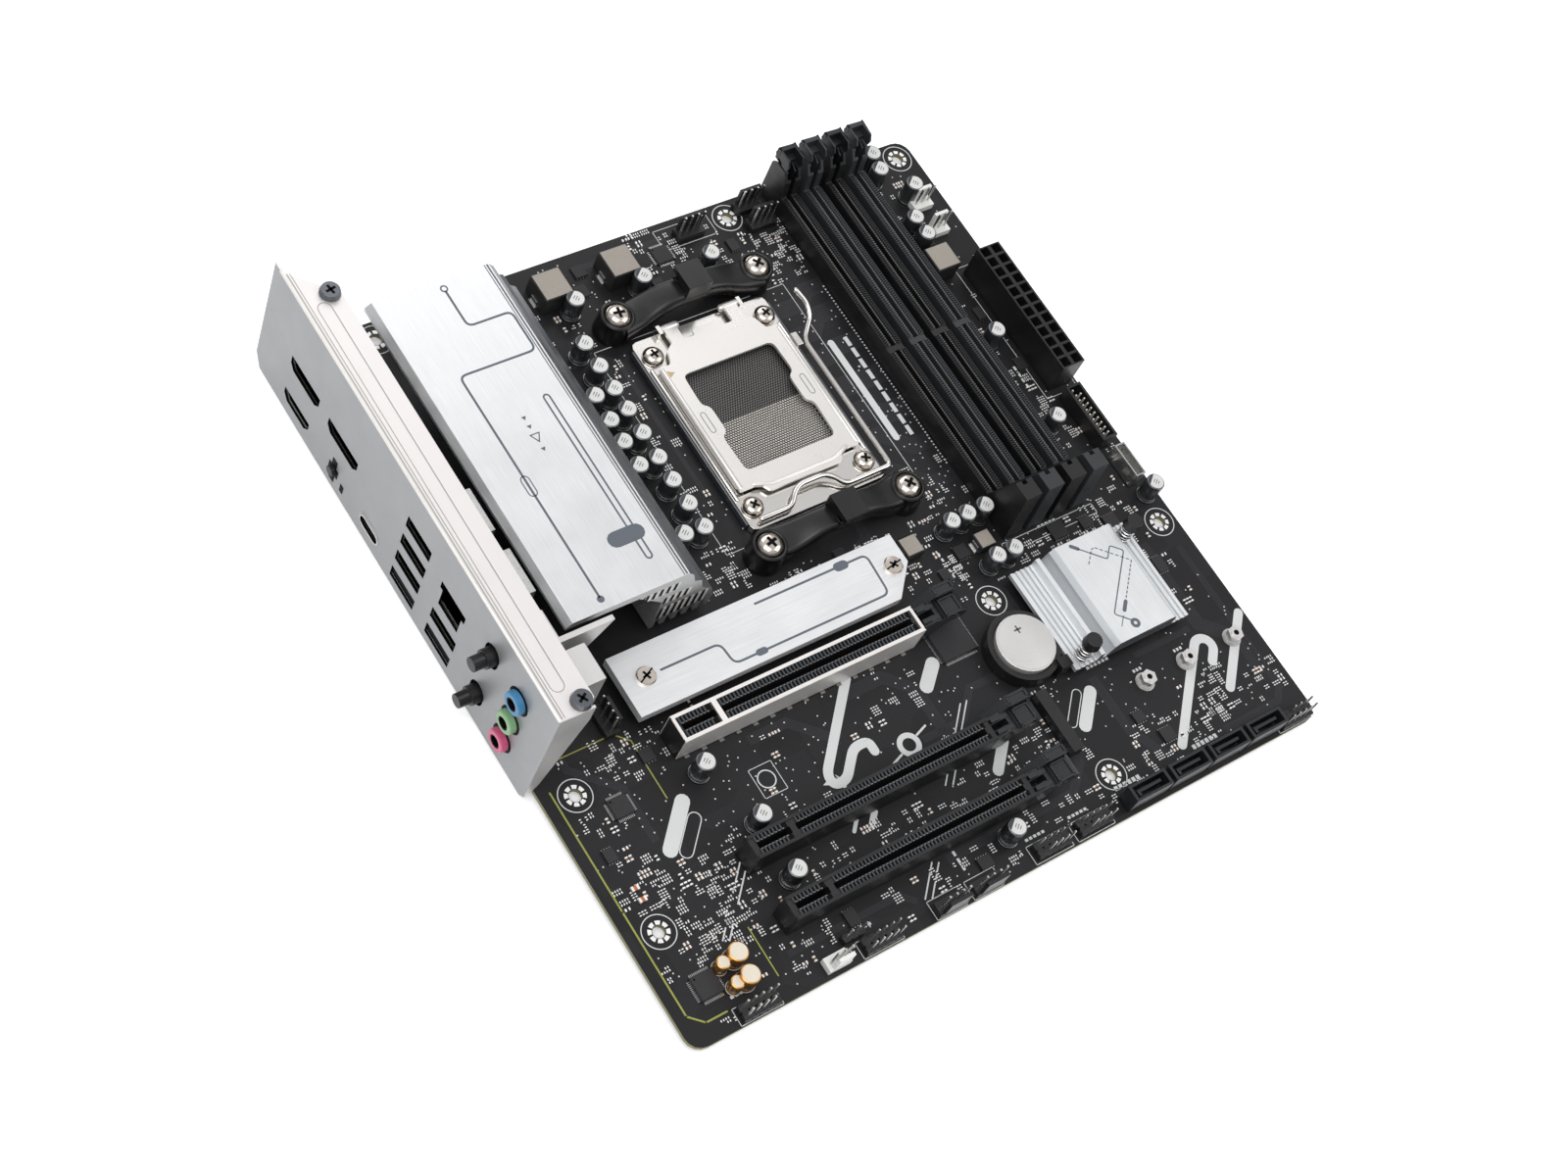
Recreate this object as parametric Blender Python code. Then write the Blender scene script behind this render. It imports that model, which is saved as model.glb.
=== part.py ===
"""A micro-ATX computer motherboard, as separate solid parts.

Lengths below are millimetres in the board's own frame: X runs from the rear (I/O) edge to the
front edge, Y from the expansion-slot edge to the processor edge, and Z is 0 on the top of the
circuit board. The empty "board_corner" carries that frame into the scene.
"""
import math

import bmesh
import bpy
from mathutils import Matrix, Vector

MM = 0.001
GAP = 0.3  # clearance between pieces that touch on the real board

# circuit board
BOARD = 244.0
BOARD_THICKNESS = 1.57
BOARD_CORNER_RADIUS = 5.0
BOARD_BOTTOM = -BOARD_THICKNESS
MOUNTING_HOLE_RADIUS = 1.98
MOUNTING_HOLES = [
    (33.02, 237.65), (165.10, 237.65), (237.49, 237.65),
    (10.16, 80.17), (165.10, 80.17), (237.49, 80.17),
    (10.16, 34.45), (165.10, 14.13),
]

# processor socket, its frame and the cooler brackets, all centred on the socket
SOCKET_X = 131.2
SOCKET_Y = 168.2
SOCKET_SCREW_REACH = (21.75, 29.75)
COOLER_SCREW_REACH = (27.0, 45.0)
FRAME_TOP = 3.0
PLATE_LOW = 4.3
PLATE_HIGH = 5.4
HINGE_Y = 205.3
HINGE_Z = 4.4
LEVER_AXIS_Y = 133.3
LEVER_AXIS_Z = 4.5
LEVER_X = 159.8
LEVER_RADIUS = 0.95
BACKPLATE_THICKNESS = 2.0
BACKPLATE_TOP = BOARD_BOTTOM - GAP
BACKPLATE_BOTTOM = BACKPLATE_TOP - BACKPLATE_THICKNESS

# rear connector panel
PANEL_OUTER_X = -3.0
PANEL_INNER_X = -2.2
PANEL_LOW_Y = 86.5
PANEL_HIGH_Y = 246.4
PANEL_BOTTOM = -3.2
PANEL_TOP = 45.8
PORT_FRONT_X = -1.8

# memory slots
DIMM_FIRST_X = 185.3
DIMM_PITCH = 9.4
DIMM_COUNT = 4
DIMM_WIDTH = 6.5
DIMM_LATCH_Y = 239.6
DIMM_LATCH_Z = 4.2
DIMM_TOWER_TOP = 22.6

# expansion slots
SLOT_START_X = 42.6
SLOT_END_X = 131.4
SLOT_HEIGHT = 11.4
SLOT_CENTRES_Y = [81.56, 40.92, 20.60]
SLOT_WIDTHS = [8.8, 7.5, 7.5]
SLOT_KEY_X = 57.2
PCIE_LATCH_X = 136.0
PCIE_LATCH_Z = 2.6

# everything else that repeats or carries another piece
VRM_START_Y = 116.0
VRM_END_Y = 232.0
M2_TOP = 9.8
M2_SCREWS = [(44.0, 100.5), (135.5, 100.5)]
CHIPSET_PINS = [(178.0, 50.4), (217.6, 79.4)]
BATTERY_X = 162.2
BATTERY_Y = 61.3
SATA_FIRST_X = 162.2
SATA_PITCH = 16.6
SATA_COUNT = 4
SATA_LENGTH = 15.0

BLACK_PLASTIC = ("black plastic", (0.012, 0.012, 0.013), 0.45, 0.0)
GREY_PLASTIC = ("dark grey plastic", (0.045, 0.048, 0.052), 0.5, 0.0)
BOARD_LACQUER = ("black solder mask", (0.020, 0.020, 0.022), 0.45, 0.0)
SATIN_STEEL = ("satin steel", (0.58, 0.58, 0.57), 0.35, 1.0)
BRIGHT_STEEL = ("bright nickel", (0.72, 0.70, 0.67), 0.18, 1.0)
BRUSHED_ALUMINIUM = ("brushed aluminium", (0.82, 0.83, 0.84), 0.32, 1.0)
ZINC_SCREW = ("dark zinc", (0.25, 0.26, 0.28), 0.35, 1.0)
TIN_CAN = ("tin-plated shell", (0.66, 0.66, 0.64), 0.3, 1.0)
CELL_STEEL = ("cell steel", (0.74, 0.73, 0.72), 0.3, 1.0)
CHIP_CONTACTS = ("socket housing", (0.10, 0.10, 0.10), 0.5, 0.2)


def clear_scene():
    for obj in list(bpy.data.objects):
        bpy.data.objects.remove(obj, do_unlink=True)


def new_collection(name):
    collection = bpy.data.collections.new(name)
    bpy.context.scene.collection.children.link(collection)
    return collection


clear_scene()
PARTS = new_collection("motherboard")
CUTTERS = new_collection("cutters")
CORNER = bpy.data.objects.new("board_corner", None)
PARTS.objects.link(CORNER)


# ---------------------------------------------------------------- building blocks


def add_object(name, mesh):
    obj = bpy.data.objects.new(name, mesh)
    obj.parent = CORNER
    PARTS.objects.link(obj)
    return obj


def from_bmesh(name, bm):
    bmesh.ops.recalc_face_normals(bm, faces=bm.faces)
    mesh = bpy.data.meshes.new(name)
    bm.to_mesh(mesh)
    bm.free()
    return add_object(name, mesh)


def add_box(bm, low, high):
    """A box between two corners in millimetres."""
    size = [(b - a) * MM for a, b in zip(low, high)]
    centre = [(a + b) / 2 * MM for a, b in zip(low, high)]
    place = Matrix.Translation(centre) @ Matrix.Diagonal((*size, 1.0))
    bmesh.ops.create_cube(bm, size=1.0, matrix=place)


def boxes(name, corners):
    """One mesh of boxes that don't touch each other, each given as (low corner, high corner)."""
    bm = bmesh.new()
    for low, high in corners:
        add_box(bm, low, high)
    return from_bmesh(name, bm)


def box(name, low, high):
    return boxes(name, [(low, high)])


def add_cylinder(bm, centre, radius, length, axis="Z", sides=16, end_radius=None):
    """A cylinder or cone from a centre point on its low end, along an axis."""
    turn = {
        "Z": Matrix.Identity(4),
        "X": Matrix.Rotation(math.pi / 2, 4, "Y"),
        "Y": Matrix.Rotation(-math.pi / 2, 4, "X"),
    }[axis]
    lift = Matrix.Translation((0, 0, length / 2 * MM))
    place = Matrix.Translation(Vector(centre) * MM) @ turn @ lift
    top = radius if end_radius is None else end_radius
    bmesh.ops.create_cone(
        bm, cap_ends=True, segments=sides, radius1=radius * MM, radius2=top * MM,
        depth=length * MM, matrix=place,
    )


def cylinders(name, centres, radius, length, axis="Z", sides=16):
    bm = bmesh.new()
    for centre in centres:
        add_cylinder(bm, centre, radius, length, axis, sides)
    return from_bmesh(name, bm)


def circle(centre, radius, sides=16):
    angles = [2 * math.pi * i / sides for i in range(sides)]
    return [(centre[0] + radius * math.cos(a), centre[1] + radius * math.sin(a)) for a in angles]


def rectangle(low, high):
    return [(low[0], low[1]), (high[0], low[1]), (high[0], high[1]), (low[0], high[1])]


def rounded_rectangle(low, high, radius, steps=4):
    """A rectangle's outline with quarter-circle corners, anticlockwise."""
    corners = [
        (high[0] - radius, high[1] - radius, 0.0),
        (low[0] + radius, high[1] - radius, 90.0),
        (low[0] + radius, low[1] + radius, 180.0),
        (high[0] - radius, low[1] + radius, 270.0),
    ]
    points = []
    for x, y, start in corners:
        for i in range(steps + 1):
            angle = math.radians(start + 90.0 * i / steps)
            points.append((x + radius * math.cos(angle), y + radius * math.sin(angle)))
    return points


PRISM_AXES = {
    "Z": Matrix.Identity(4),
    "X": Matrix(((0, 0, 1, 0), (1, 0, 0, 0), (0, 1, 0, 0), (0, 0, 0, 1))),
    "Y": Matrix(((1, 0, 0, 0), (0, 0, 1, 0), (0, 1, 0, 0), (0, 0, 0, 1))),
}


def add_prism(bm, outline, low, high, axis):
    """A flat outline carried along an axis: in (x, y) along Z, (y, z) along X and (x, z) along Y."""
    corners = [bm.verts.new((u * MM, v * MM, low * MM)) for u, v in outline]
    face = bm.faces.new(corners)
    grown = bmesh.ops.extrude_face_region(bm, geom=[face])
    far = [item for item in grown["geom"] if isinstance(item, bmesh.types.BMVert)]
    bmesh.ops.translate(bm, verts=far, vec=(0, 0, (high - low) * MM))
    bmesh.ops.transform(bm, matrix=PRISM_AXES[axis], verts=corners + far)


def prisms(name, outlines, low, high, axis="Z"):
    """One mesh of prisms that don't touch each other."""
    bm = bmesh.new()
    for outline in outlines:
        add_prism(bm, outline, low, high, axis)
    return from_bmesh(name, bm)


def prism(name, outlines, low, high, axis="Z"):
    """A prism on the first outline, with each further outline cut through it."""
    solid = prisms(name, outlines[:1], low, high, axis)
    if len(outlines) > 1:
        solid = cut(solid, prisms(name + "_holes", outlines[1:], low - 1.0, high + 1.0, axis))
    return solid


def boolean(target, other, operation):
    """Cut another object from the target, or join it on, and keep that object as a helper."""
    step = target.modifiers.new(operation.lower(), "BOOLEAN")
    step.operation = operation
    step.solver = "EXACT"
    step.object = other
    for collection in other.users_collection:
        collection.objects.unlink(other)
    CUTTERS.objects.link(other)
    other.hide_render = True
    other.display_type = "WIRE"
    return target


def cut(target, other):
    return boolean(target, other, "DIFFERENCE")


def join(target, other):
    return boolean(target, other, "UNION")


def finish(obj, look, pivot=None):
    """Give a part its material and, for a moving part, its origin on the joint's axis."""
    name, colour, roughness, metallic = look
    material = bpy.data.materials.new(obj.name)
    material.use_nodes = True
    shader = material.node_tree.nodes["Principled BSDF"]
    shader.inputs["Base Color"].default_value = (*colour, 1.0)
    shader.inputs["Roughness"].default_value = roughness
    shader.inputs["Metallic"].default_value = metallic
    material["finish"] = name
    obj.data.materials.clear()
    obj.data.materials.append(material)
    obj.data.shade_smooth()
    obj.data.set_sharp_from_angle(angle=math.radians(35))
    if pivot is not None:
        obj.data.transform(Matrix.Translation(-Vector(pivot) * MM))
        obj.location = Vector(pivot) * MM
    return obj


def around_socket(reach):
    """The four points at a given reach either side of the socket's centre."""
    return [
        (SOCKET_X + sx * reach[0], SOCKET_Y + sy * reach[1])
        for sy in (-1, 1)
        for sx in (-1, 1)
    ]


SOCKET_SCREWS = around_socket(SOCKET_SCREW_REACH)
COOLER_SCREWS = around_socket(COOLER_SCREW_REACH)


# ---------------------------------------------------------------- board and socket


def circuit_board():
    holes = [circle(c, MOUNTING_HOLE_RADIUS) for c in MOUNTING_HOLES]
    holes += [circle(c, 2.2, 12) for c in COOLER_SCREWS]
    holes += [circle(c, 2.0, 12) for c in SOCKET_SCREWS]
    holes += [circle(c, 1.8, 12) for c in CHIPSET_PINS]
    edge = rounded_rectangle((0, 0), (BOARD, BOARD), BOARD_CORNER_RADIUS)
    board = prism("circuit_board", [edge] + holes, BOARD_BOTTOM, 0.0)
    return finish(board, BOARD_LACQUER)


def socket_backplate():
    """A steel plate under the socket: a window in the middle and an ear at each cooler screw."""
    ear = 6.0
    x = COOLER_SCREW_REACH[0] + ear
    y = COOLER_SCREW_REACH[1] + ear
    waist = SOCKET_SCREW_REACH[1] + 5.0
    notch = 14.0
    outline = []
    for sx, sy in ((1, 1), (-1, 1), (-1, -1), (1, -1)):
        corner = [(sx * x, sy * waist), (sx * x, sy * y), (sx * notch, sy * y), (sx * notch, sy * waist)]
        outline += corner if sx * sy > 0 else corner[::-1]
    outline = [(SOCKET_X + u, SOCKET_Y + v) for u, v in outline]
    window = rounded_rectangle(
        (SOCKET_X - 15, SOCKET_Y - 18), (SOCKET_X + 15, SOCKET_Y + 18), 3.0, 2
    )
    holes = [circle(c, 2.2, 12) for c in COOLER_SCREWS]
    holes += [circle(c, 2.0, 12) for c in SOCKET_SCREWS]
    plate = prism("socket_backplate", [outline, window] + holes, BACKPLATE_BOTTOM, BACKPLATE_TOP)
    return finish(plate, ZINC_SCREW)


def cpu_socket():
    low = (SOCKET_X - 21.0, SOCKET_Y - 24.0)
    high = (SOCKET_X + 21.0, SOCKET_Y + 24.0)
    body = prism("cpu_socket", [rectangle(low, high)], GAP, 3.9)
    recess = box(
        "cpu_socket_recess",
        (SOCKET_X - 19.0, SOCKET_Y - 20.5, 2.4), (SOCKET_X + 19.0, SOCKET_Y + 20.5, 6.0),
    )
    return finish(cut(body, recess), CHIP_CONTACTS)


def socket_frame():
    """The pressed steel frame round the socket, with hinge ears and a catch for the lever."""
    low = (SOCKET_X - 26.0, SOCKET_Y - 37.0)
    high = (SOCKET_X + 26.0, SOCKET_Y + 37.0)
    window = rectangle((SOCKET_X - 21.4, SOCKET_Y - 24.4), (SOCKET_X + 21.4, SOCKET_Y + 24.4))
    holes = [circle(c, 2.0, 12) for c in SOCKET_SCREWS]
    frame = prism("socket_frame", [rounded_rectangle(low, high, 2.0, 2), window] + holes, GAP, FRAME_TOP)
    for side in (-1, 1):
        ear_x = SOCKET_X + side * 15.6
        ear = box("socket_frame_ear", (ear_x - 0.8, HINGE_Y - 2.0, 1.0), (ear_x + 0.8, HINGE_Y + 1.4, 5.8))
        frame = join(frame, ear)
    catch = box("socket_frame_catch", (SOCKET_X + 25.0, 183.0, 1.0), (SOCKET_X + 27.3, 188.0, 5.2))
    return finish(join(frame, catch), BRIGHT_STEEL)


def mirrored(outline, middle):
    """An outline's right half, given from bottom to top, with its mirror image about x = middle."""
    return outline + [(2 * middle - u, v) for u, v in outline[::-1]]


def softened(outline, radius, steps=3):
    """A closed outline with each corner turned into a curve that starts radius before it."""
    points = []
    count = len(outline)
    for i, corner in enumerate(outline):
        here = Vector(corner)
        ends = []
        for other in (outline[i - 1], outline[(i + 1) % count]):
            side = Vector(other) - here
            ends.append(here + side.normalized() * min(radius, side.length * 0.4))
        for k in range(steps + 1):
            t = k / steps
            points.append(tuple(ends[0] * (1 - t) ** 2 + here * (2 * t * (1 - t)) + ends[1] * t ** 2))
    return points


def load_plate():
    """The hinged plate that presses the processor down: window, folded sides, two hinge rolls."""
    half = 23.4
    top_y = SOCKET_Y + 31.0
    roll_x = 11.8
    right_side = [
        (half - 9.5, 140.6), (half - 7.5, 144.0), (half, 144.0), (half, 192.6), (half - 4.6, 192.6),
        (half - 6.4, 197.4), (half - 8.8, top_y), (roll_x + 2.4, top_y), (roll_x + 2.4, HINGE_Y),
        (roll_x - 2.4, HINGE_Y), (roll_x - 2.4, top_y), (5.4, top_y), (5.4, top_y + 2.0),
    ]
    window_side = [
        (17.4, 149.6), (17.8, 163.0), (15.4, 164.5), (15.4, 174.2), (17.8, 175.7), (17.4, 187.6),
    ]
    outer, window = [
        mirrored([(SOCKET_X + u, v) for u, v in side], SOCKET_X) for side in (right_side, window_side)
    ]
    plate = prism("load_plate", [softened(outer, 0.8), softened(window, 2.2)], PLATE_LOW, PLATE_HIGH)
    for side in (-1, 1):
        start = SOCKET_X + side * roll_x - 2.7
        plate = join(plate, cylinders("load_plate_roll", [(start, HINGE_Y, HINGE_Z)], 1.15, 5.4, "X", 10))
        flange_x = SOCKET_X + side * (half - 0.65)
        flange = box(
            "load_plate_flange",
            (flange_x - 0.45, 146.0, FRAME_TOP + GAP), (flange_x + 0.45, 191.0, PLATE_HIGH - 0.3),
        )
        plate = join(plate, flange)
    return finish(plate, BRIGHT_STEEL, (SOCKET_X, HINGE_Y, HINGE_Z))


def wire(name, points, radius):
    """A round wire through points in millimetres, with closed ends, as one mesh."""
    curve = bpy.data.curves.new(name, "CURVE")
    curve.dimensions = "3D"
    curve.bevel_depth = radius * MM
    curve.bevel_resolution = 2
    curve.use_fill_caps = True
    spline = curve.splines.new("POLY")
    spline.points.add(len(points) - 1)
    for point, place in zip(spline.points, points):
        point.co = (*[c * MM for c in place], 1.0)
    guide = bpy.data.objects.new(name + "_path", curve)
    CUTTERS.objects.link(guide)
    graph = bpy.context.evaluated_depsgraph_get()
    mesh = bpy.data.meshes.new_from_object(guide.evaluated_get(graph))
    bpy.data.objects.remove(guide, do_unlink=True)
    bm = bmesh.new()
    bm.from_mesh(mesh)
    bpy.data.meshes.remove(mesh)
    bmesh.ops.remove_doubles(bm, verts=bm.verts, dist=0.001 * MM)
    return from_bmesh(name, bm)


def load_lever():
    """A bent wire: finger hook, long arm beside the plate, then the crank across the frame's foot."""
    y, z = LEVER_AXIS_Y, LEVER_AXIS_Z
    path = [
        (163.2, 198.6, 11.5), (165.6, 194.6, 9.0), (165.4, 190.6, 6.8), (162.0, 187.0, 5.2),
        (LEVER_X, 184.0, z), (LEVER_X, y + 2.0, z), (LEVER_X - 0.6, y + 0.6, z),
        (LEVER_X - 2.0, y, z), (SOCKET_X + 10.5, y, z), (SOCKET_X + 7.5, y + 3.6, z + 1.0),
        (SOCKET_X + 4.5, y + 5.2, z + 1.5), (SOCKET_X - 4.5, y + 5.2, z + 1.5),
        (SOCKET_X - 7.5, y + 3.6, z + 1.0), (SOCKET_X - 10.5, y, z), (SOCKET_X - 22.0, y, z),
    ]
    lever = wire("load_lever", path, LEVER_RADIUS)
    return finish(lever, BRIGHT_STEEL, (LEVER_X, y, z))


def screw(name, x, y, head_low, head_high, head_radius, shank_radius, shank_low, look):
    """A screw standing on Z: a chamfered head on a shank."""
    bm = bmesh.new()
    add_cylinder(bm, (x, y, head_low), head_radius, head_high - head_low, "Z", 16, head_radius * 0.86)
    head = from_bmesh(name, bm)
    shank = cylinders(name + "_shank", [(x, y, shank_low)], shank_radius, head_low + 0.5 - shank_low, "Z", 10)
    return finish(join(head, shank), look)


def socket_screws():
    for i, (x, y) in enumerate(SOCKET_SCREWS):
        head_low, shank_low = FRAME_TOP + GAP, BACKPLATE_BOTTOM + 0.3
        screw(f"socket_screw_{i + 1}", x, y, head_low, 5.5, 3.5, 1.6, shank_low, BRIGHT_STEEL)


def cooler_bracket(name, y, outward):
    """A black bridge between two screw bosses, rising to a hook that a cooler's clip grips."""
    reach = COOLER_SCREW_REACH[0]
    half = 4.0
    arch = [
        (-reach, 1.2), (-reach + 6.0, 1.2), (-14.0, 3.2), (-8.0, 6.0), (8.0, 6.0), (14.0, 3.2),
        (reach - 6.0, 1.2), (reach, 1.2), (reach, 7.4), (reach - 6.0, 7.0), (15.0, 8.6),
        (8.5, 12.4), (-8.5, 12.4), (-15.0, 8.6), (-reach + 6.0, 7.0), (-reach, 7.4),
    ]
    arch = [(SOCKET_X + u, v) for u, v in arch]
    bracket = prism(name, [arch], y - half, y + half, "Y")
    bosses = cylinders(name + "_bosses", [(SOCKET_X + s * reach, y, GAP) for s in (-1, 1)], 6.2, 8.8, "Z", 20)
    bracket = join(bracket, bosses)
    hook_low = y - half if outward > 0 else y - half - 1.6
    hook_high = hook_low + 2 * half + 1.6
    hook = box(name + "_hook", (SOCKET_X - 5.2, hook_low, 9.0), (SOCKET_X + 5.2, hook_high, 16.6))
    throat_low = y + outward * 2.0 if outward > 0 else y + outward * 2.0 - 6.0
    throat_high = throat_low + 6.0
    throat = box(name + "_throat", (SOCKET_X - 9.0, throat_low, 12.8), (SOCKET_X + 9.0, throat_high, 14.4))
    bracket = cut(join(bracket, hook), throat)
    seats = cylinders(name + "_seats", [(SOCKET_X + s * reach, y, 6.6) for s in (-1, 1)], 4.6, 5.0, "Z", 16)
    bores = cylinders(name + "_bores", [(SOCKET_X + s * reach, y, -1.0) for s in (-1, 1)], 2.3, 9.0, "Z", 12)
    return finish(cut(cut(bracket, seats), bores), BLACK_PLASTIC)


def cooler_brackets():
    cooler_bracket("cooler_bracket_lower", SOCKET_Y - COOLER_SCREW_REACH[1], -1)
    cooler_bracket("cooler_bracket_upper", SOCKET_Y + COOLER_SCREW_REACH[1], 1)
    for i, (x, y) in enumerate(COOLER_SCREWS):
        screw(f"bracket_screw_{i + 1}", x, y, 6.9, 9.4, 3.9, 1.9, BACKPLATE_BOTTOM + 0.3, BRIGHT_STEEL)


# ---------------------------------------------------------------- rear connector panel


def stadium(low, high, steps=6):
    """A slot outline with half-round ends, longer along its first axis, anticlockwise."""
    radius = (high[1] - low[1]) / 2
    middle = (low[1] + high[1]) / 2
    points = []
    for x, start in ((high[0] - radius, -90.0), (low[0] + radius, 90.0)):
        for i in range(steps + 1):
            angle = math.radians(start + 180.0 * i / steps)
            points.append((x + radius * math.cos(angle), middle + radius * math.sin(angle)))
    return points


def upright_stadium(centre, radius, height):
    """A slot standing on end, as a hole in the rear panel."""
    low = (centre[1] - height / 2, centre[0] - radius)
    high = (centre[1] + height / 2, centre[0] + radius)
    return [(v, u) for u, v in stadium(low, high)]


def clipped(low, high, clip):
    """A rectangle with its two lower corners clipped, as a display connector's mouth."""
    return [
        (low[0] + clip, low[1]), (high[0] - clip, low[1]), (high[0], low[1] + clip),
        (high[0], high[1]), (low[0], high[1]), (low[0], low[1] + clip),
    ]


DISPLAY_PORT_MOUTHS = [clipped((212.9, 16.8), (229.6, 22.2), 2.0)]
HDMI_MOUTH = clipped((214.9, 1.4), (229.5, 6.2), 2.2)
UPPER_DISPLAY_MOUTH = clipped((190.0, 16.2), (207.2, 21.4), 2.0)
USB_A_LEVELS = [0.0, 9.1, 18.2, 27.5]
USB_A_HEIGHT = 5.0
USB_STACK_Y = (151.2, 164.4)
LAN_Y = (130.8, 144.0)
ANTENNA_Y = 117.2
ANTENNA_Z = [8.6, 30.6]
JACK_Y = 102.2
JACK_Z = [7.4, 18.8, 30.2]
BUTTON_Y = 199.6
BUTTON_Z = 4.4


def usb_mouths(y_range, levels):
    return [rectangle((y_range[0], z), (y_range[1], z + USB_A_HEIGHT)) for z in levels]


def io_shield():
    """The rear panel with its cut-outs, the top flange and the tapering wall at the slot end."""
    face = [
        (PANEL_LOW_Y, PANEL_BOTTOM + 2.0), (PANEL_LOW_Y + 2.0, PANEL_BOTTOM),
        (PANEL_HIGH_Y - 3.0, PANEL_BOTTOM), (PANEL_HIGH_Y, PANEL_BOTTOM + 5.0),
        (PANEL_HIGH_Y, PANEL_TOP), (PANEL_LOW_Y, PANEL_TOP),
    ]
    lan_mouth = [
        (LAN_Y[0] + 1.4, 18.6), (LAN_Y[1] - 1.4, 18.6), (LAN_Y[1] - 1.4, 25.6), (LAN_Y[1], 25.6),
        (LAN_Y[1], 28.8), (LAN_Y[0], 28.8), (LAN_Y[0], 25.6), (LAN_Y[0] + 1.4, 25.6),
    ]
    mouths = [
        *DISPLAY_PORT_MOUTHS, HDMI_MOUTH, UPPER_DISPLAY_MOUTH,
        circle((BUTTON_Y, BUTTON_Z), 2.2, 12), circle((194.0, 2.0), 0.9, 8),
        stadium((173.2, 1.6), (183.0, 5.2)),
        *usb_mouths(USB_STACK_Y, USB_A_LEVELS), lan_mouth, *usb_mouths(LAN_Y, USB_A_LEVELS[:2]),
        *[upright_stadium((ANTENNA_Y, z), 3.5, 9.6) for z in ANTENNA_Z],
        *[circle((JACK_Y, z), 4.65, 16) for z in JACK_Z],
    ]
    panel = prism("io_shield", [face] + mouths, PANEL_OUTER_X, PANEL_INNER_X, "X")
    flange_outline = [
        (PANEL_OUTER_X + 0.2, PANEL_LOW_Y + 0.3), (7.0, PANEL_LOW_Y + 0.3), (9.6, PANEL_LOW_Y + 3.0),
        (9.6, 231.0), (0.0, 239.8), (PANEL_OUTER_X + 0.2, PANEL_HIGH_Y - 3.0),
    ]
    screw_holes = [circle((5.6, 89.8), 1.9, 12), circle((6.4, 231.6), 1.9, 12)]
    flange = prism("io_shield_flange", [flange_outline] + screw_holes, PANEL_TOP - 1.0, PANEL_TOP - 0.2)
    wall_outline = [
        (PANEL_OUTER_X + 0.2, PANEL_BOTTOM + 2.5), (-1.0, PANEL_BOTTOM + 2.5), (1.0, 4.0),
        (8.6, 38.0), (8.6, PANEL_TOP - 0.5), (PANEL_OUTER_X + 0.2, PANEL_TOP - 0.5),
    ]
    wall = prism("io_shield_wall", [wall_outline], PANEL_LOW_Y + 0.1, PANEL_LOW_Y + 0.9, "Y")
    return finish(join(join(panel, flange), wall), SATIN_STEEL)


def shield_screws():
    top = PANEL_TOP - 0.2
    for name, x, y in (("shield_screw_low", 5.6, 89.8), ("shield_screw_high", 6.4, 231.6)):
        screw(name, x, y, top + GAP, top + GAP + 1.7, 3.3, 1.5, top - 5.0, ZINC_SCREW)


def hollow_port(name, low, high, mouths, depth, look, tongues=()):
    """A connector body with its mouths sunk from the rear face, and a contact tongue in each."""
    body = box(name, low, high)
    for i, mouth in enumerate(mouths):
        body = cut(body, prism(f"{name}_mouth_{i}", [mouth], low[0] - 1.0, low[0] + depth, "X"))
    for i, (tongue_low, tongue_high) in enumerate(tongues):
        body = join(body, box(f"{name}_tongue_{i}", tongue_low, tongue_high))
    return finish(body, look)


def tongue(y_range, z, inset, thickness, depth):
    start = PORT_FRONT_X + 1.2
    return ((start, y_range[0] + inset, z), (PORT_FRONT_X + depth + 0.5, y_range[1] - inset, z + thickness))


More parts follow.
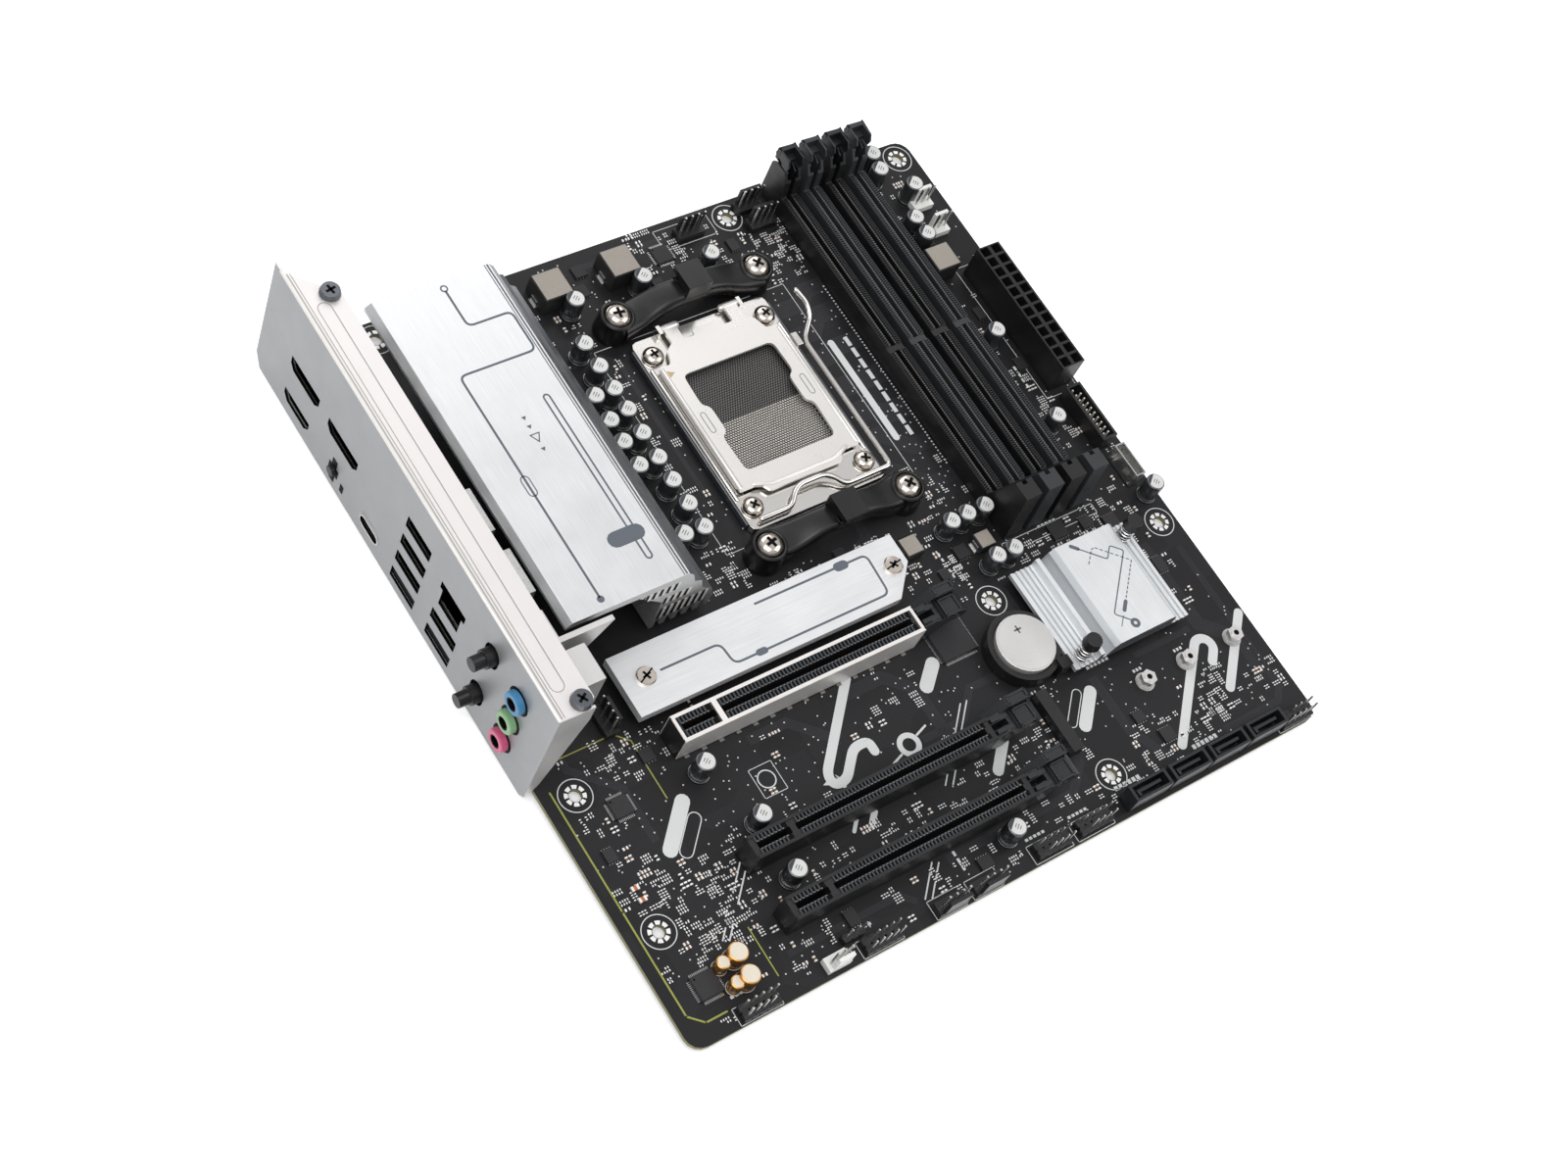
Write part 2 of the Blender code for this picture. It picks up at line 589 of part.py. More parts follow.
def rear_ports():
    front = PORT_FRONT_X
    hollow_port(
        "display_stack", (front, 211.4, GAP), (14.0, 231.2, 24.6),
        DISPLAY_PORT_MOUTHS + [HDMI_MOUTH], 9.0, BLACK_PLASTIC,
        [tongue((212.9, 229.6), 19.4, 2.4, 1.0, 9.0), tongue((214.9, 229.5), 3.6, 2.6, 1.0, 9.0)],
    )
    bridge = prism(
        "display_port",
        [[
            (188.0, GAP), (189.6, GAP), (189.6, 9.0), (207.8, 9.0), (207.8, GAP), (209.4, GAP),
            (209.4, 23.6), (188.0, 23.6),
        ]],
        front, 14.0, "X",
    )
    mouth = prism("display_port_mouth", [UPPER_DISPLAY_MOUTH], front - 1.0, front + 9.0, "X")
    bar = box("display_port_tongue", *tongue((190.0, 207.2), 18.4, 2.4, 1.0, 9.0))
    finish(join(cut(bridge, mouth), bar), BLACK_PLASTIC)
    button_start = -4.4
    button = cylinders("bios_button", [(button_start, BUTTON_Y, BUTTON_Z)], 1.75, 5.2, "X", 14)
    finish(button, BLACK_PLASTIC, (button_start, BUTTON_Y, BUTTON_Z))
    switch = box("bios_switch", (1.6, BUTTON_Y - 3.0, GAP), (7.6, BUTTON_Y + 3.0, 7.0))
    finish(switch, TIN_CAN)
    hollow_port(
        "usb_c_port", (front, 172.6, GAP), (8.6, 183.6, 6.2),
        [stadium((173.4, 1.8), (182.8, 5.0))], 7.0, TIN_CAN,
        [tongue((174.0, 182.2), 3.05, 1.0, 0.7, 7.0)],
    )
    usb_low, usb_high = USB_STACK_Y
    levels = [max(z, GAP + 0.5) for z in USB_A_LEVELS]
    hollow_port(
        "usb_stack", (front, usb_low - 0.8, GAP), (17.0, usb_high + 0.8, 33.6),
        [rectangle((usb_low, z), (usb_high, USB_A_LEVELS[i] + USB_A_HEIGHT)) for i, z in enumerate(levels)],
        11.0, TIN_CAN, [tongue(USB_STACK_Y, z + 2.4, 1.0, 1.5, 11.0) for z in levels],
    )
    lan_low, lan_high = LAN_Y
    mouths = [
        rectangle((lan_low, z), (lan_high, USB_A_LEVELS[i] + USB_A_HEIGHT)) for i, z in enumerate(levels[:2])
    ]
    mouths.append(rectangle((lan_low, 19.0), (lan_high, 28.8)))
    hollow_port(
        "lan_usb_stack", (front, lan_low - 0.9, GAP), (19.0, lan_high + 0.9, 30.6), mouths, 12.0, TIN_CAN,
        [tongue(LAN_Y, z + 2.4, 1.0, 1.5, 12.0) for z in levels[:2]],
    )


def wireless_module():
    body = box("wifi_module", (2.4, 112.4, GAP), (16.8, 123.6, 31.8))
    outline = [(16.0, 12.0), (24.0, 12.0), (34.6, 31.8), (16.0, 31.8)]
    fin = prism("wifi_module_fin", [outline], 112.4, 114.2, "Y")
    finish(join(body, fin), TIN_CAN)
    for name, z in (("antenna_socket_low", ANTENNA_Z[0]), ("antenna_socket_high", ANTENNA_Z[1])):
        barrel = cylinders(name, [(-5.8, ANTENNA_Y, z)], 3.0, 7.8, "X", 20)
        tip = cylinders(name + "_tip", [(-9.6, ANTENNA_Y, z)], 2.25, 4.4, "X", 16)
        finish(join(barrel, tip), BLACK_PLASTIC)


def audio_jacks():
    """Three stacked sound jacks: one housing with three round barrels and their bores."""
    housing = box("audio_jacks", (PORT_FRONT_X, 96.6, GAP), (21.6, 109.4, 35.2))
    centres = [(-5.4, JACK_Y, z) for z in JACK_Z]
    barrels = cylinders("audio_jacks_barrels", centres, 4.1, 6.0, "X", 16)
    bores = cylinders("audio_jacks_bores", [(x - 1.0, y, z) for x, y, z in centres], 1.9, 14.0, "X", 12)
    return finish(cut(join(housing, barrels), bores), GREY_PLASTIC)


# ---------------------------------------------------------------- heatsinks


def vrm_heatsink():
    """An extrusion along Y: a wide top plate, a stepped flank and cooling slots under it."""
    profile = [
        (20.4, 29.4), (45.6, 29.0), (56.6, 19.0), (56.6, 3.0),
    ]
    fin_start, fin_pitch, fin_count = 58.2, 4.0, 5
    for i in range(fin_count):
        x = fin_start + i * fin_pitch
        profile += [(x, 3.0), (x, 10.0), (x + 2.2, 10.0), (x + 2.2, 3.0)]
    profile += [
        (78.0, 3.0), (78.0, 8.0), (76.4, 13.4), (71.6, 17.2), (69.6, 23.0), (66.6, 24.6),
        (64.6, 29.8), (62.2, 32.3), (22.4, 32.3), (20.4, 30.6),
    ]
    sink = prism("vrm_heatsink", [profile], VRM_START_Y, VRM_END_Y, "Y")
    return finish(sink, BRUSHED_ALUMINIUM)


def m2_heatsink():
    outline = [(36.0, 89.9), (131.6, 89.9), (141.2, 100.0), (141.2, 110.4), (36.0, 110.4)]
    plate = prism("m2_heatsink", [outline], 6.4, M2_TOP)
    heads = cylinders("m2_heatsink_screws", [(x, y, M2_TOP - 1.0) for x, y in M2_SCREWS], 3.1, 1.9)
    posts = cylinders("m2_heatsink_posts", [(x, y, GAP) for x, y in M2_SCREWS], 2.2, 7.0, "Z", 12)
    finish(join(join(plate, heads), posts), BRUSHED_ALUMINIUM)


def chipset_heatsink():
    """An extrusion along Y: a raised plate, a rib beside a valley, and low grooved ledges."""
    left, right, ledge = 173.4, 221.4, 4.6
    profile = [(left, 3.0), (right, 3.0), (right, ledge)]
    for i in range(3):
        x = right - 1.2 - i * 2.0
        profile += [(x, ledge), (x - 0.3, ledge - 0.6), (x - 1.0, ledge - 0.6), (x - 1.3, ledge)]
    profile += [
        (214.0, ledge), (214.0, 8.4), (212.4, 9.8), (189.4, 9.8), (187.8, 8.2), (186.0, 4.2),
        (184.6, 4.2), (184.2, 7.4), (182.6, 7.4), (182.2, ledge),
    ]
    for i in range(4):
        x = 181.4 - i * 1.9
        profile += [(x, ledge), (x - 0.3, ledge - 0.6), (x - 1.0, ledge - 0.6), (x - 1.3, ledge)]
    profile += [(left, ledge)]
    sink = prism("chipset_heatsink", [profile], 47.0, 84.0, "Y")
    holes = cylinders("chipset_heatsink_holes", [(x, y, 0.0) for x, y in CHIPSET_PINS], 1.8, 9.0, "Z", 12)
    finish(cut(sink, holes), BRUSHED_ALUMINIUM)
    for i, (x, y) in enumerate(CHIPSET_PINS):
        pin = screw(f"push_pin_{i + 1}", x, y, 12.2, 15.4, 3.1, 1.25, -3.4, BLACK_PLASTIC)
        pin.data.transform(Matrix.Translation((-x * MM, -y * MM, -12.2 * MM)))
        pin.location = (x * MM, y * MM, 12.2 * MM)


# ---------------------------------------------------------------- slots


def dimm_slot(index):
    x = DIMM_FIRST_X + index * DIMM_PITCH
    half = DIMM_WIDTH / 2
    side = [
        (96.6, GAP), (243.6, GAP), (243.6, 15.6), (241.4, 17.4), (236.8, 17.4), (234.6, 14.0),
        (233.8, 7.5), (110.4, 7.5), (104.4, DIMM_TOWER_TOP), (98.0, DIMM_TOWER_TOP),
    ]
    slot = prism(f"dimm_slot_{index + 1}", [side], x - half, x + half, "X")
    groove = boxes(
        f"dimm_slot_{index + 1}_groove",
        [((x - 0.9, 103.0, 2.6), (x + 0.9, 167.8, 30.0)), ((x - 0.9, 169.8, 2.6), (x + 0.9, 235.6, 30.0))],
    )
    channel = box(f"dimm_slot_{index + 1}_channel", (x - 2.2, 235.2, 1.6), (x + 2.2, 250.0, 30.0))
    return finish(cut(cut(slot, groove), channel), (BLACK_PLASTIC, GREY_PLASTIC)[index % 2])


def dimm_latch(index):
    """The ejector at the processor end of a memory slot, turning about a cross pin at its foot."""
    x = DIMM_FIRST_X + index * DIMM_PITCH
    lever = [
        (237.6, 2.8), (241.4, 2.8), (242.4, 5.2), (241.8, 14.0), (242.4, 20.0), (240.6, 20.0),
        (237.4, 16.6), (236.2, 10.0), (236.8, 4.4),
    ]
    latch = prism(f"dimm_latch_{index + 1}", [lever], x - 1.85, x + 1.85, "X")
    top = DIMM_TOWER_TOP
    head_side = [(236.0, 18.0), (242.6, 18.0), (244.0, 20.0), (243.4, top), (237.4, top)]
    head = prism(f"dimm_latch_{index + 1}_head", [head_side], x - 3.2, x + 3.2, "X")
    look = (BLACK_PLASTIC, GREY_PLASTIC)[index % 2]
    return finish(join(latch, head), look, (x, DIMM_LATCH_Y, DIMM_LATCH_Z))


def pcie_slot(index):
    y = SLOT_CENTRES_Y[index]
    half = SLOT_WIDTHS[index] / 2
    name = f"pcie_slot_{index + 1}"
    slot = box(name, (SLOT_START_X, y - half, GAP), (SLOT_END_X, y + half, SLOT_HEIGHT))
    groove = boxes(
        name + "_groove",
        [
            ((SLOT_START_X + 2.0, y - 1.0, 3.0), (SLOT_KEY_X - 1.0, y + 1.0, 20.0)),
            ((SLOT_KEY_X + 1.0, y - 1.0, 3.0), (SLOT_END_X - 2.4, y + 1.0, 20.0)),
        ],
    )
    return finish(cut(slot, groove), TIN_CAN if index == 0 else BLACK_PLASTIC)


def pcie_latch(index):
    """The card catch at a slot's inner end: two cheeks, a thumb pad and a paddle to one side."""
    y = SLOT_CENTRES_Y[index]
    name = f"pcie_latch_{index + 1}"
    start = SLOT_END_X + GAP + 0.1
    side = [
        (start, 1.0), (137.6, 1.0), (140.6, 5.6), (148.8, 6.8), (149.6, 9.2), (146.0, 11.2),
        (140.2, 10.4), (136.0, 11.6), (start, 10.6),
    ]
    latch = prism(name, [side], y - 3.6, y + 3.6, "Y")
    throat = box(name + "_throat", (start - 1.0, y - 1.0, 5.0), (137.4, y + 1.0, 20.0))
    latch = cut(latch, throat)
    paddle_side = [(133.2, 6.2), (144.4, 7.2), (147.4, 13.8), (139.2, 13.8)]
    paddle = prism(name + "_paddle", [paddle_side], y + 3.0, y + 6.4, "Y")
    return finish(join(latch, paddle), GREY_PLASTIC, (PCIE_LATCH_X, y, PCIE_LATCH_Z))


def m2_socket():
    body = box("m2_socket", (155.9, 24.6, GAP), (160.2, 46.6, 4.2))
    mouth = box("m2_socket_mouth", (157.6, 25.8, 1.6), (161.0, 45.4, 2.6))
    return finish(cut(body, mouth), GREY_PLASTIC)


# ---------------------------------------------------------------- power, battery and the rest


def power_block(name, low, high, columns, rows):
    """A power connector: a block with a square cell for each pin, sunk from the top."""
    cell = 3.3
    body = box(name, low, high)
    step_x = (high[0] - low[0]) / columns
    step_y = (high[1] - low[1]) / rows
    cells = []
    for i in range(columns):
        for j in range(rows):
            x = low[0] + (i + 0.5) * step_x
            y = low[1] + (j + 0.5) * step_y
            cells.append(((x - cell / 2, y - cell / 2, 4.0), (x + cell / 2, y + cell / 2, 20.0)))
    return finish(cut(body, boxes(name + "_cells", cells)), BLACK_PLASTIC)


def open_box(name, low, high, wall, floor, look):
    body = box(name, low, high)
    room = box(
        name + "_room",
        (low[0] + wall, low[1] + wall, floor), (high[0] - wall, high[1] - wall, high[2] + 5.0),
    )
    return finish(cut(body, room), look)


def front_connectors():
    power_block("atx_power", (231.9, 137.3, GAP), (241.3, 188.7, 13.2), 2, 12)
    power_block("cpu_power", (41.0, 232.9, GAP), (58.2, 242.3, 13.2), 4, 2)
    open_box("usb3_header", (233.3, 111.3, GAP), (239.5, 133.6, 6.8), 0.9, 1.8, BLACK_PLASTIC)
    open_box("usb_c_header", (235.3, 95.2, GAP), (239.4, 108.0, 7.2), 0.5, 1.5, TIN_CAN)


def battery_and_holder():
    centre = (BATTERY_X, BATTERY_Y)
    bm = bmesh.new()
    add_cylinder(bm, (*centre, GAP), 12.2, 5.0, "Z", 32)
    cup = from_bmesh("battery_holder", bm)
    flat_low = (BATTERY_X + 10.75, BATTERY_Y - 20.0, -5.0)
    flat = box("battery_holder_flat", flat_low, (BATTERY_X + 30.0, BATTERY_Y + 20.0, 12.0))
    cup = cut(cup, flat)
    pocket = cylinders("battery_holder_pocket", [(*centre, 3.4)], 10.35, 8.0, "Z", 32)
    clip_low = (BATTERY_X + 6.0, BATTERY_Y - 12.5, GAP)
    clip = box("battery_holder_clip", clip_low, (BATTERY_X + 10.4, BATTERY_Y - 8.7, 6.6))
    holder = join(cut(cup, pocket), clip)
    finish(holder, BLACK_PLASTIC)
    bm = bmesh.new()
    add_cylinder(bm, (*centre, 3.7), 8.6, 0.8, "Z", 32)
    cell = from_bmesh("battery", bm)
    can = cylinders("battery_can", [(*centre, 4.3)], 10.0, 2.6, "Z", 32)
    return finish(join(cell, can), CELL_STEEL, (*centre, 3.7))


def sata_ports():
    """Four upright drive connectors in a row, each a shell round an L-shaped blade."""
    low_y, high_y = 1.4, 7.0
    for i in range(SATA_COUNT):
        x = SATA_FIRST_X + i * SATA_PITCH
        name = f"sata_port_{i + 1}"
        shell = box(name, (x, low_y, GAP), (x + SATA_LENGTH, high_y, 7.8))
        room = box(name + "_room", (x + 1.1, low_y + 0.9, 2.2), (x + SATA_LENGTH - 1.1, high_y - 0.9, 12.0))
        blade = [
            (x + 2.6, 2.9), (x + 3.7, 2.9), (x + 3.7, 3.9), (x + 12.4, 3.9), (x + 12.4, 5.0), (x + 2.6, 5.0),
        ]
        finish(join(cut(shell, room), prism(name + "_blade", [blade], 2.0, 6.6)), BLACK_PLASTIC)


def place_frame():
    """Set the board so that the assembly's bounding box is centred on the origin and rests on Z 0."""
    CORNER.location = (-PLACE_X * MM, -PLACE_Y * MM, -BACKPLATE_BOTTOM * MM)


PLACE_X = 117.2
PLACE_Y = 123.2

circuit_board()
socket_backplate()
cpu_socket()
socket_frame()
load_plate()
load_lever()
socket_screws()
cooler_brackets()
io_shield()
shield_screws()
rear_ports()
wireless_module()
audio_jacks()
vrm_heatsink()
m2_heatsink()
chipset_heatsink()
for number in range(DIMM_COUNT):
    dimm_slot(number)
    dimm_latch(number)
for number in range(len(SLOT_CENTRES_Y)):
    pcie_slot(number)
    pcie_latch(number)
m2_socket()
front_connectors()
battery_and_holder()
sata_ports()
place_frame()
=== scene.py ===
"""The looks of a computer motherboard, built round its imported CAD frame.

Lengths are millimetres from CORNER, the circuit board's rear corner at the expansion-slot end, on
its top face: X runs to the front edge, Y to the processor's power edge, and Z is up.
"""
import math
import random

import bmesh
import bpy
from mathutils import Matrix, Vector


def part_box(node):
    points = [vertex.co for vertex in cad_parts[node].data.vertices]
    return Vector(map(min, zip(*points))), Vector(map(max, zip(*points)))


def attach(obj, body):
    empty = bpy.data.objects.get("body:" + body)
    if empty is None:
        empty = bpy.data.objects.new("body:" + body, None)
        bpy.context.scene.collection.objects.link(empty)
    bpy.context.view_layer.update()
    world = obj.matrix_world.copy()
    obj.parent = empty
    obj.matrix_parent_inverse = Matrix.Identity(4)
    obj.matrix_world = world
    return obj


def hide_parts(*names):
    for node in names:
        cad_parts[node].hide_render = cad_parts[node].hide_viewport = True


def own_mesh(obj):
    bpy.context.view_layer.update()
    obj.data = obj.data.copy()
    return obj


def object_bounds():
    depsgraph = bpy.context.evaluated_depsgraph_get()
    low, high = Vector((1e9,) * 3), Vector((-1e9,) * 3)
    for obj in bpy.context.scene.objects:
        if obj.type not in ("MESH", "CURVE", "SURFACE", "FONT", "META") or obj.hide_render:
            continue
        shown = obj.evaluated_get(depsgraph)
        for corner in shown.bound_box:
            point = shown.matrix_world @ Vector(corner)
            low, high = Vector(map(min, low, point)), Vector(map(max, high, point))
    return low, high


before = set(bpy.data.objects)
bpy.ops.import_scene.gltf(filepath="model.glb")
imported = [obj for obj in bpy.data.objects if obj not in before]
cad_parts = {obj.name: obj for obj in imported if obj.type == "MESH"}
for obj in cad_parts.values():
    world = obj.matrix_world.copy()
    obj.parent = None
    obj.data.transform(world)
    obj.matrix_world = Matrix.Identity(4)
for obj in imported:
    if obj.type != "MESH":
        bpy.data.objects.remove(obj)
cad_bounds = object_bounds()

MM = 0.001
BOARD_LOW, BOARD_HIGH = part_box("circuit_board")
CORNER = Vector((BOARD_LOW.x, BOARD_LOW.y, BOARD_HIGH.z))
UNDERSIDE = (BOARD_LOW.z - BOARD_HIGH.z) / MM
SOCKET_X, SOCKET_Y = 131.2, 168.2  # the processor socket's middle
PLATE_TOP = 5.4  # the load plate's upper face
LOW_SINK_TOP = 9.8  # the upper face of the storage and chipset heatsinks
PRINT_RISE = 0.04  # how far printed marks stand off their surface
PIN_PITCH = 2.54  # between the pins of a header
PIN_HALF = 0.32  # half a header pin's width
RUNG_PITCH = 0.85  # between the contacts of a memory slot
CARD_PITCH = 1.27  # between the teeth of an expansion slot
rng = random.Random(11)


def span(node):
    """A CAD node's lowest and highest corners, in millimetres from CORNER."""
    low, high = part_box(node)
    return (low - CORNER) / MM, (high - CORNER) / MM


def middle(node):
    """The middle of a CAD node, in millimetres from CORNER."""
    low, high = span(node)
    return (low + high) / 2


# ---------------------------------------------------------------- materials


def rgb(code):
    """A hex sRGB colour as linear RGBA."""
    values = [int(code[i:i + 2], 16) / 255 for i in (0, 2, 4)]
    return (*[v / 12.92 if v <= 0.04045 else ((v + 0.055) / 1.055) ** 2.4 for v in values], 1.0)


def shade(colour, factor):
    """A colour made lighter or darker by a factor."""
    return (*[min(1.0, c * factor) for c in colour[:3]], 1.0)


class Nodes:
    """A material's node tree, with short ways to add and link nodes."""

    def __init__(self, name):
        self.material = bpy.data.materials.new(name)
        self.material.use_nodes = True
        self.tree = self.material.node_tree
        self.bsdf = self.tree.nodes["Principled BSDF"]

    def add(self, kind, **settings):
        node = self.tree.nodes.new("ShaderNode" + kind)
        for key, value in settings.items():
            setattr(node, key, value)
        return node

    def link(self, source, target):
        self.tree.links.new(source, target)

    def coordinates(self, stretch=(1.0, 1.0, 1.0), turn=0.0):
        """The piece's own coordinates, stretched, or turned in degrees about Z."""
        place = self.add("TexCoord")
        mapping = self.add("Mapping")
        mapping.inputs["Scale"].default_value = stretch
        mapping.inputs["Rotation"].default_value = (0.0, 0.0, math.radians(turn))
        self.link(place.outputs["Object"], mapping.inputs["Vector"])
        return mapping.outputs["Vector"]

    def noise(self, vector, scale, detail=4.0):
        """A noise value from 0 to 1, with its grain at a scale."""
        noise = self.add("TexNoise")
        noise.inputs["Scale"].default_value = scale
        noise.inputs["Detail"].default_value = detail
        noise.inputs["Roughness"].default_value = 0.6
        self.link(vector, noise.inputs["Vector"])
        return noise.outputs["Fac"]

    def math(self, operation, first, second, third=None):
        """Arithmetic on numbers and sockets."""
        node = self.add("Math", operation=operation)
        for value, socket in zip((first, second, third), node.inputs):
            if value is None:
                continue
            if isinstance(value, (int, float)):
                socket.default_value = value
            else:
                self.link(value, socket)
        return node.outputs[0]

    def spread(self, value, low, high, start=0.3, end=0.7):
        """Maps value from start..end to low..high."""
        node = self.add("MapRange")
        node.inputs["From Min"].default_value = start
        node.inputs["From Max"].default_value = end
        node.inputs["To Min"].default_value = low
        node.inputs["To Max"].default_value = high
        self.link(value, node.inputs["Value"])
        return node.outputs["Result"]

    def blend(self, share, first, second):
        """Mixes two colours, each a value or a socket."""
        node = self.add("Mix", data_type="RGBA")
        self.link(share, node.inputs[0])
        for value, socket in zip((first, second), [s for s in node.inputs if s.type == "RGBA"]):
            if isinstance(value, tuple):
                socket.default_value = value
            else:
                self.link(value, socket)
        return [s for s in node.outputs if s.type == "RGBA"][0]

    def split(self, vector):
        node = self.add("SeparateXYZ")
        self.link(vector, node.inputs["Vector"])
        return node.outputs

    def facing(self, axis, low, high):
        """1 where the surface's direction along an axis lies between low and high, else 0."""
        along = self.split(self.add("NewGeometry").outputs["True Normal"])[axis]
        return self.math("COMPARE", along, (low + high) / 2, (high - low) / 2)

    def inside_shell(self):
        """1 on the walls inside a socket's shell or a panel's cut-outs, else 0."""
        place = self.split(self.add("TexCoord").outputs["Generated"])
        shares = [
            self.math("COMPARE", place[axis], (low + high) / 2, (high - low) / 2)
            for axis, low, high in (("X", 0.002, 0.985), ("Y", 0.03, 0.97), ("Z", 0.004, 0.988))
        ]
        return self.math("MULTIPLY", self.math("MULTIPLY", shares[0], shares[1]), shares[2])

    def bump(self, height, strength, distance):
        """Gives the surface a relief, distance in metres."""
        node = self.add("Bump")
        node.inputs["Strength"].default_value = strength
        node.inputs["Distance"].default_value = distance
        self.link(height, node.inputs["Height"])
        self.link(node.outputs["Normal"], self.bsdf.inputs["Normal"])


def surface(name, code, roughness, metallic=0.0, stretch=(1, 1, 1), fine=1400.0, mottle=0.12,
            bump=0.25, smudge=0.08, coat=0.0, depth=0.06, facing=(), inner_shade=False):
    """A finish with fine grain, broad smudges, and a bump. stretch is small along the brushing.

    facing lists (axis, low, high, colour) for faces turned a certain way, which take that colour as painted
    light or painted shade.
    The walls inside a socket's shell, or only the edges of a panel's cut-outs, can be painted near-black as
    shade.
    """
    nodes = Nodes(name)
    colour = rgb(code)
    grain = nodes.noise(nodes.coordinates(stretch), fine)
    broad = nodes.noise(nodes.coordinates(), 70.0, 3.0)
    mixed = nodes.blend(nodes.spread(grain, 0.0, 1.0), shade(colour, 1 - mottle), shade(colour, 1 + mottle))
    tone = nodes.add("HueSaturation")
    nodes.link(mixed, tone.inputs["Color"])
    nodes.link(nodes.spread(broad, 1 - mottle / 2, 1 + mottle / 2), tone.inputs["Value"])
    base = tone.outputs["Color"]
    # painted light and shade: faces turned a given way take a lighter or darker colour
    for axis, low, high, other in facing:
        base = nodes.blend(nodes.facing(axis, low, high), base, rgb(other))
    # painted shade: near-black on the walls inside a socket's shell, or only on a panel's cut-out edges
    if inner_shade:
        within = nodes.inside_shell()
        if inner_shade == "cut-outs":
            within = nodes.math("MULTIPLY", within, nodes.facing("X", -0.5, 0.5))
        base = nodes.blend(within, base, rgb("060607"))
    nodes.link(base, nodes.bsdf.inputs["Base Color"])
    rough = nodes.spread(broad, roughness - smudge, roughness + smudge)
    rough = nodes.math("ADD", rough, nodes.spread(grain, -smudge / 2, smudge / 2))
    nodes.link(rough, nodes.bsdf.inputs["Roughness"])
    nodes.bsdf.inputs["Metallic"].default_value = metallic
    nodes.bsdf.inputs["Coat Weight"].default_value = coat
    nodes.bump(grain, bump, depth * MM)
    return nodes.material


def plastic(name, code, roughness=0.38, mottle=0.1, bump=0.15):
    """A moulded plastic's finish."""
    return surface(name, code, roughness, fine=2200, mottle=mottle, bump=bump)


def solder_mask():
    """Black lacquer over copper: faint bundles of lines, pin-prick vias, and a fibreglass edge."""
    nodes = Nodes("solder_mask")
    place = nodes.coordinates()
    cells = nodes.add("TexVoronoi", distance="CHEBYCHEV")
    cells.inputs["Scale"].default_value = 62.0
    nodes.link(place, cells.inputs["Vector"])
    pick = nodes.add("SeparateColor")
    nodes.link(cells.outputs["Color"], pick.inputs["Color"])
    height = None
    for turn, edge in ((0.0, 0.0), (45.0, 0.33), (90.0, 0.66)):
        wave = nodes.add("TexWave", bands_direction="X")
        wave.inputs["Scale"].default_value = 620.0
        nodes.link(nodes.coordinates(turn=turn), wave.inputs["Vector"])
        inside = nodes.math("COMPARE", pick.outputs["Red"], edge + 0.165, 0.165)
        part = nodes.math("MULTIPLY", inside, nodes.spread(wave.outputs["Fac"], 0.0, 1.0, 0.35, 0.65))
        height = part if height is None else nodes.math("ADD", height, part)
    height = nodes.math("MULTIPLY", height, nodes.math("GREATER_THAN", pick.outputs["Green"], 0.45))
    grain = nodes.noise(place, 2600.0, 3.0)
    broad = nodes.noise(place, 55.0, 3.0)
    lacquer = nodes.blend(height, rgb("141416"), rgb("1d1d1f"))
    whole = nodes.blend(nodes.facing("Z", -0.5, 0.5), lacquer, rgb("77744a"))
    nodes.link(whole, nodes.bsdf.inputs["Base Color"])
    nodes.link(nodes.spread(broad, 0.38, 0.5), nodes.bsdf.inputs["Roughness"])
    nodes.bsdf.inputs["Specular IOR Level"].default_value = 0.32
    bumps = nodes.math("ADD", nodes.math("MULTIPLY", grain, 0.25), height)
    nodes.bump(bumps, 0.35, 0.02 * MM)
    return nodes.material


ALONG_X = (0.03, 1.0, 1.0)
ALONG_Y = (1.0, 0.03, 1.0)

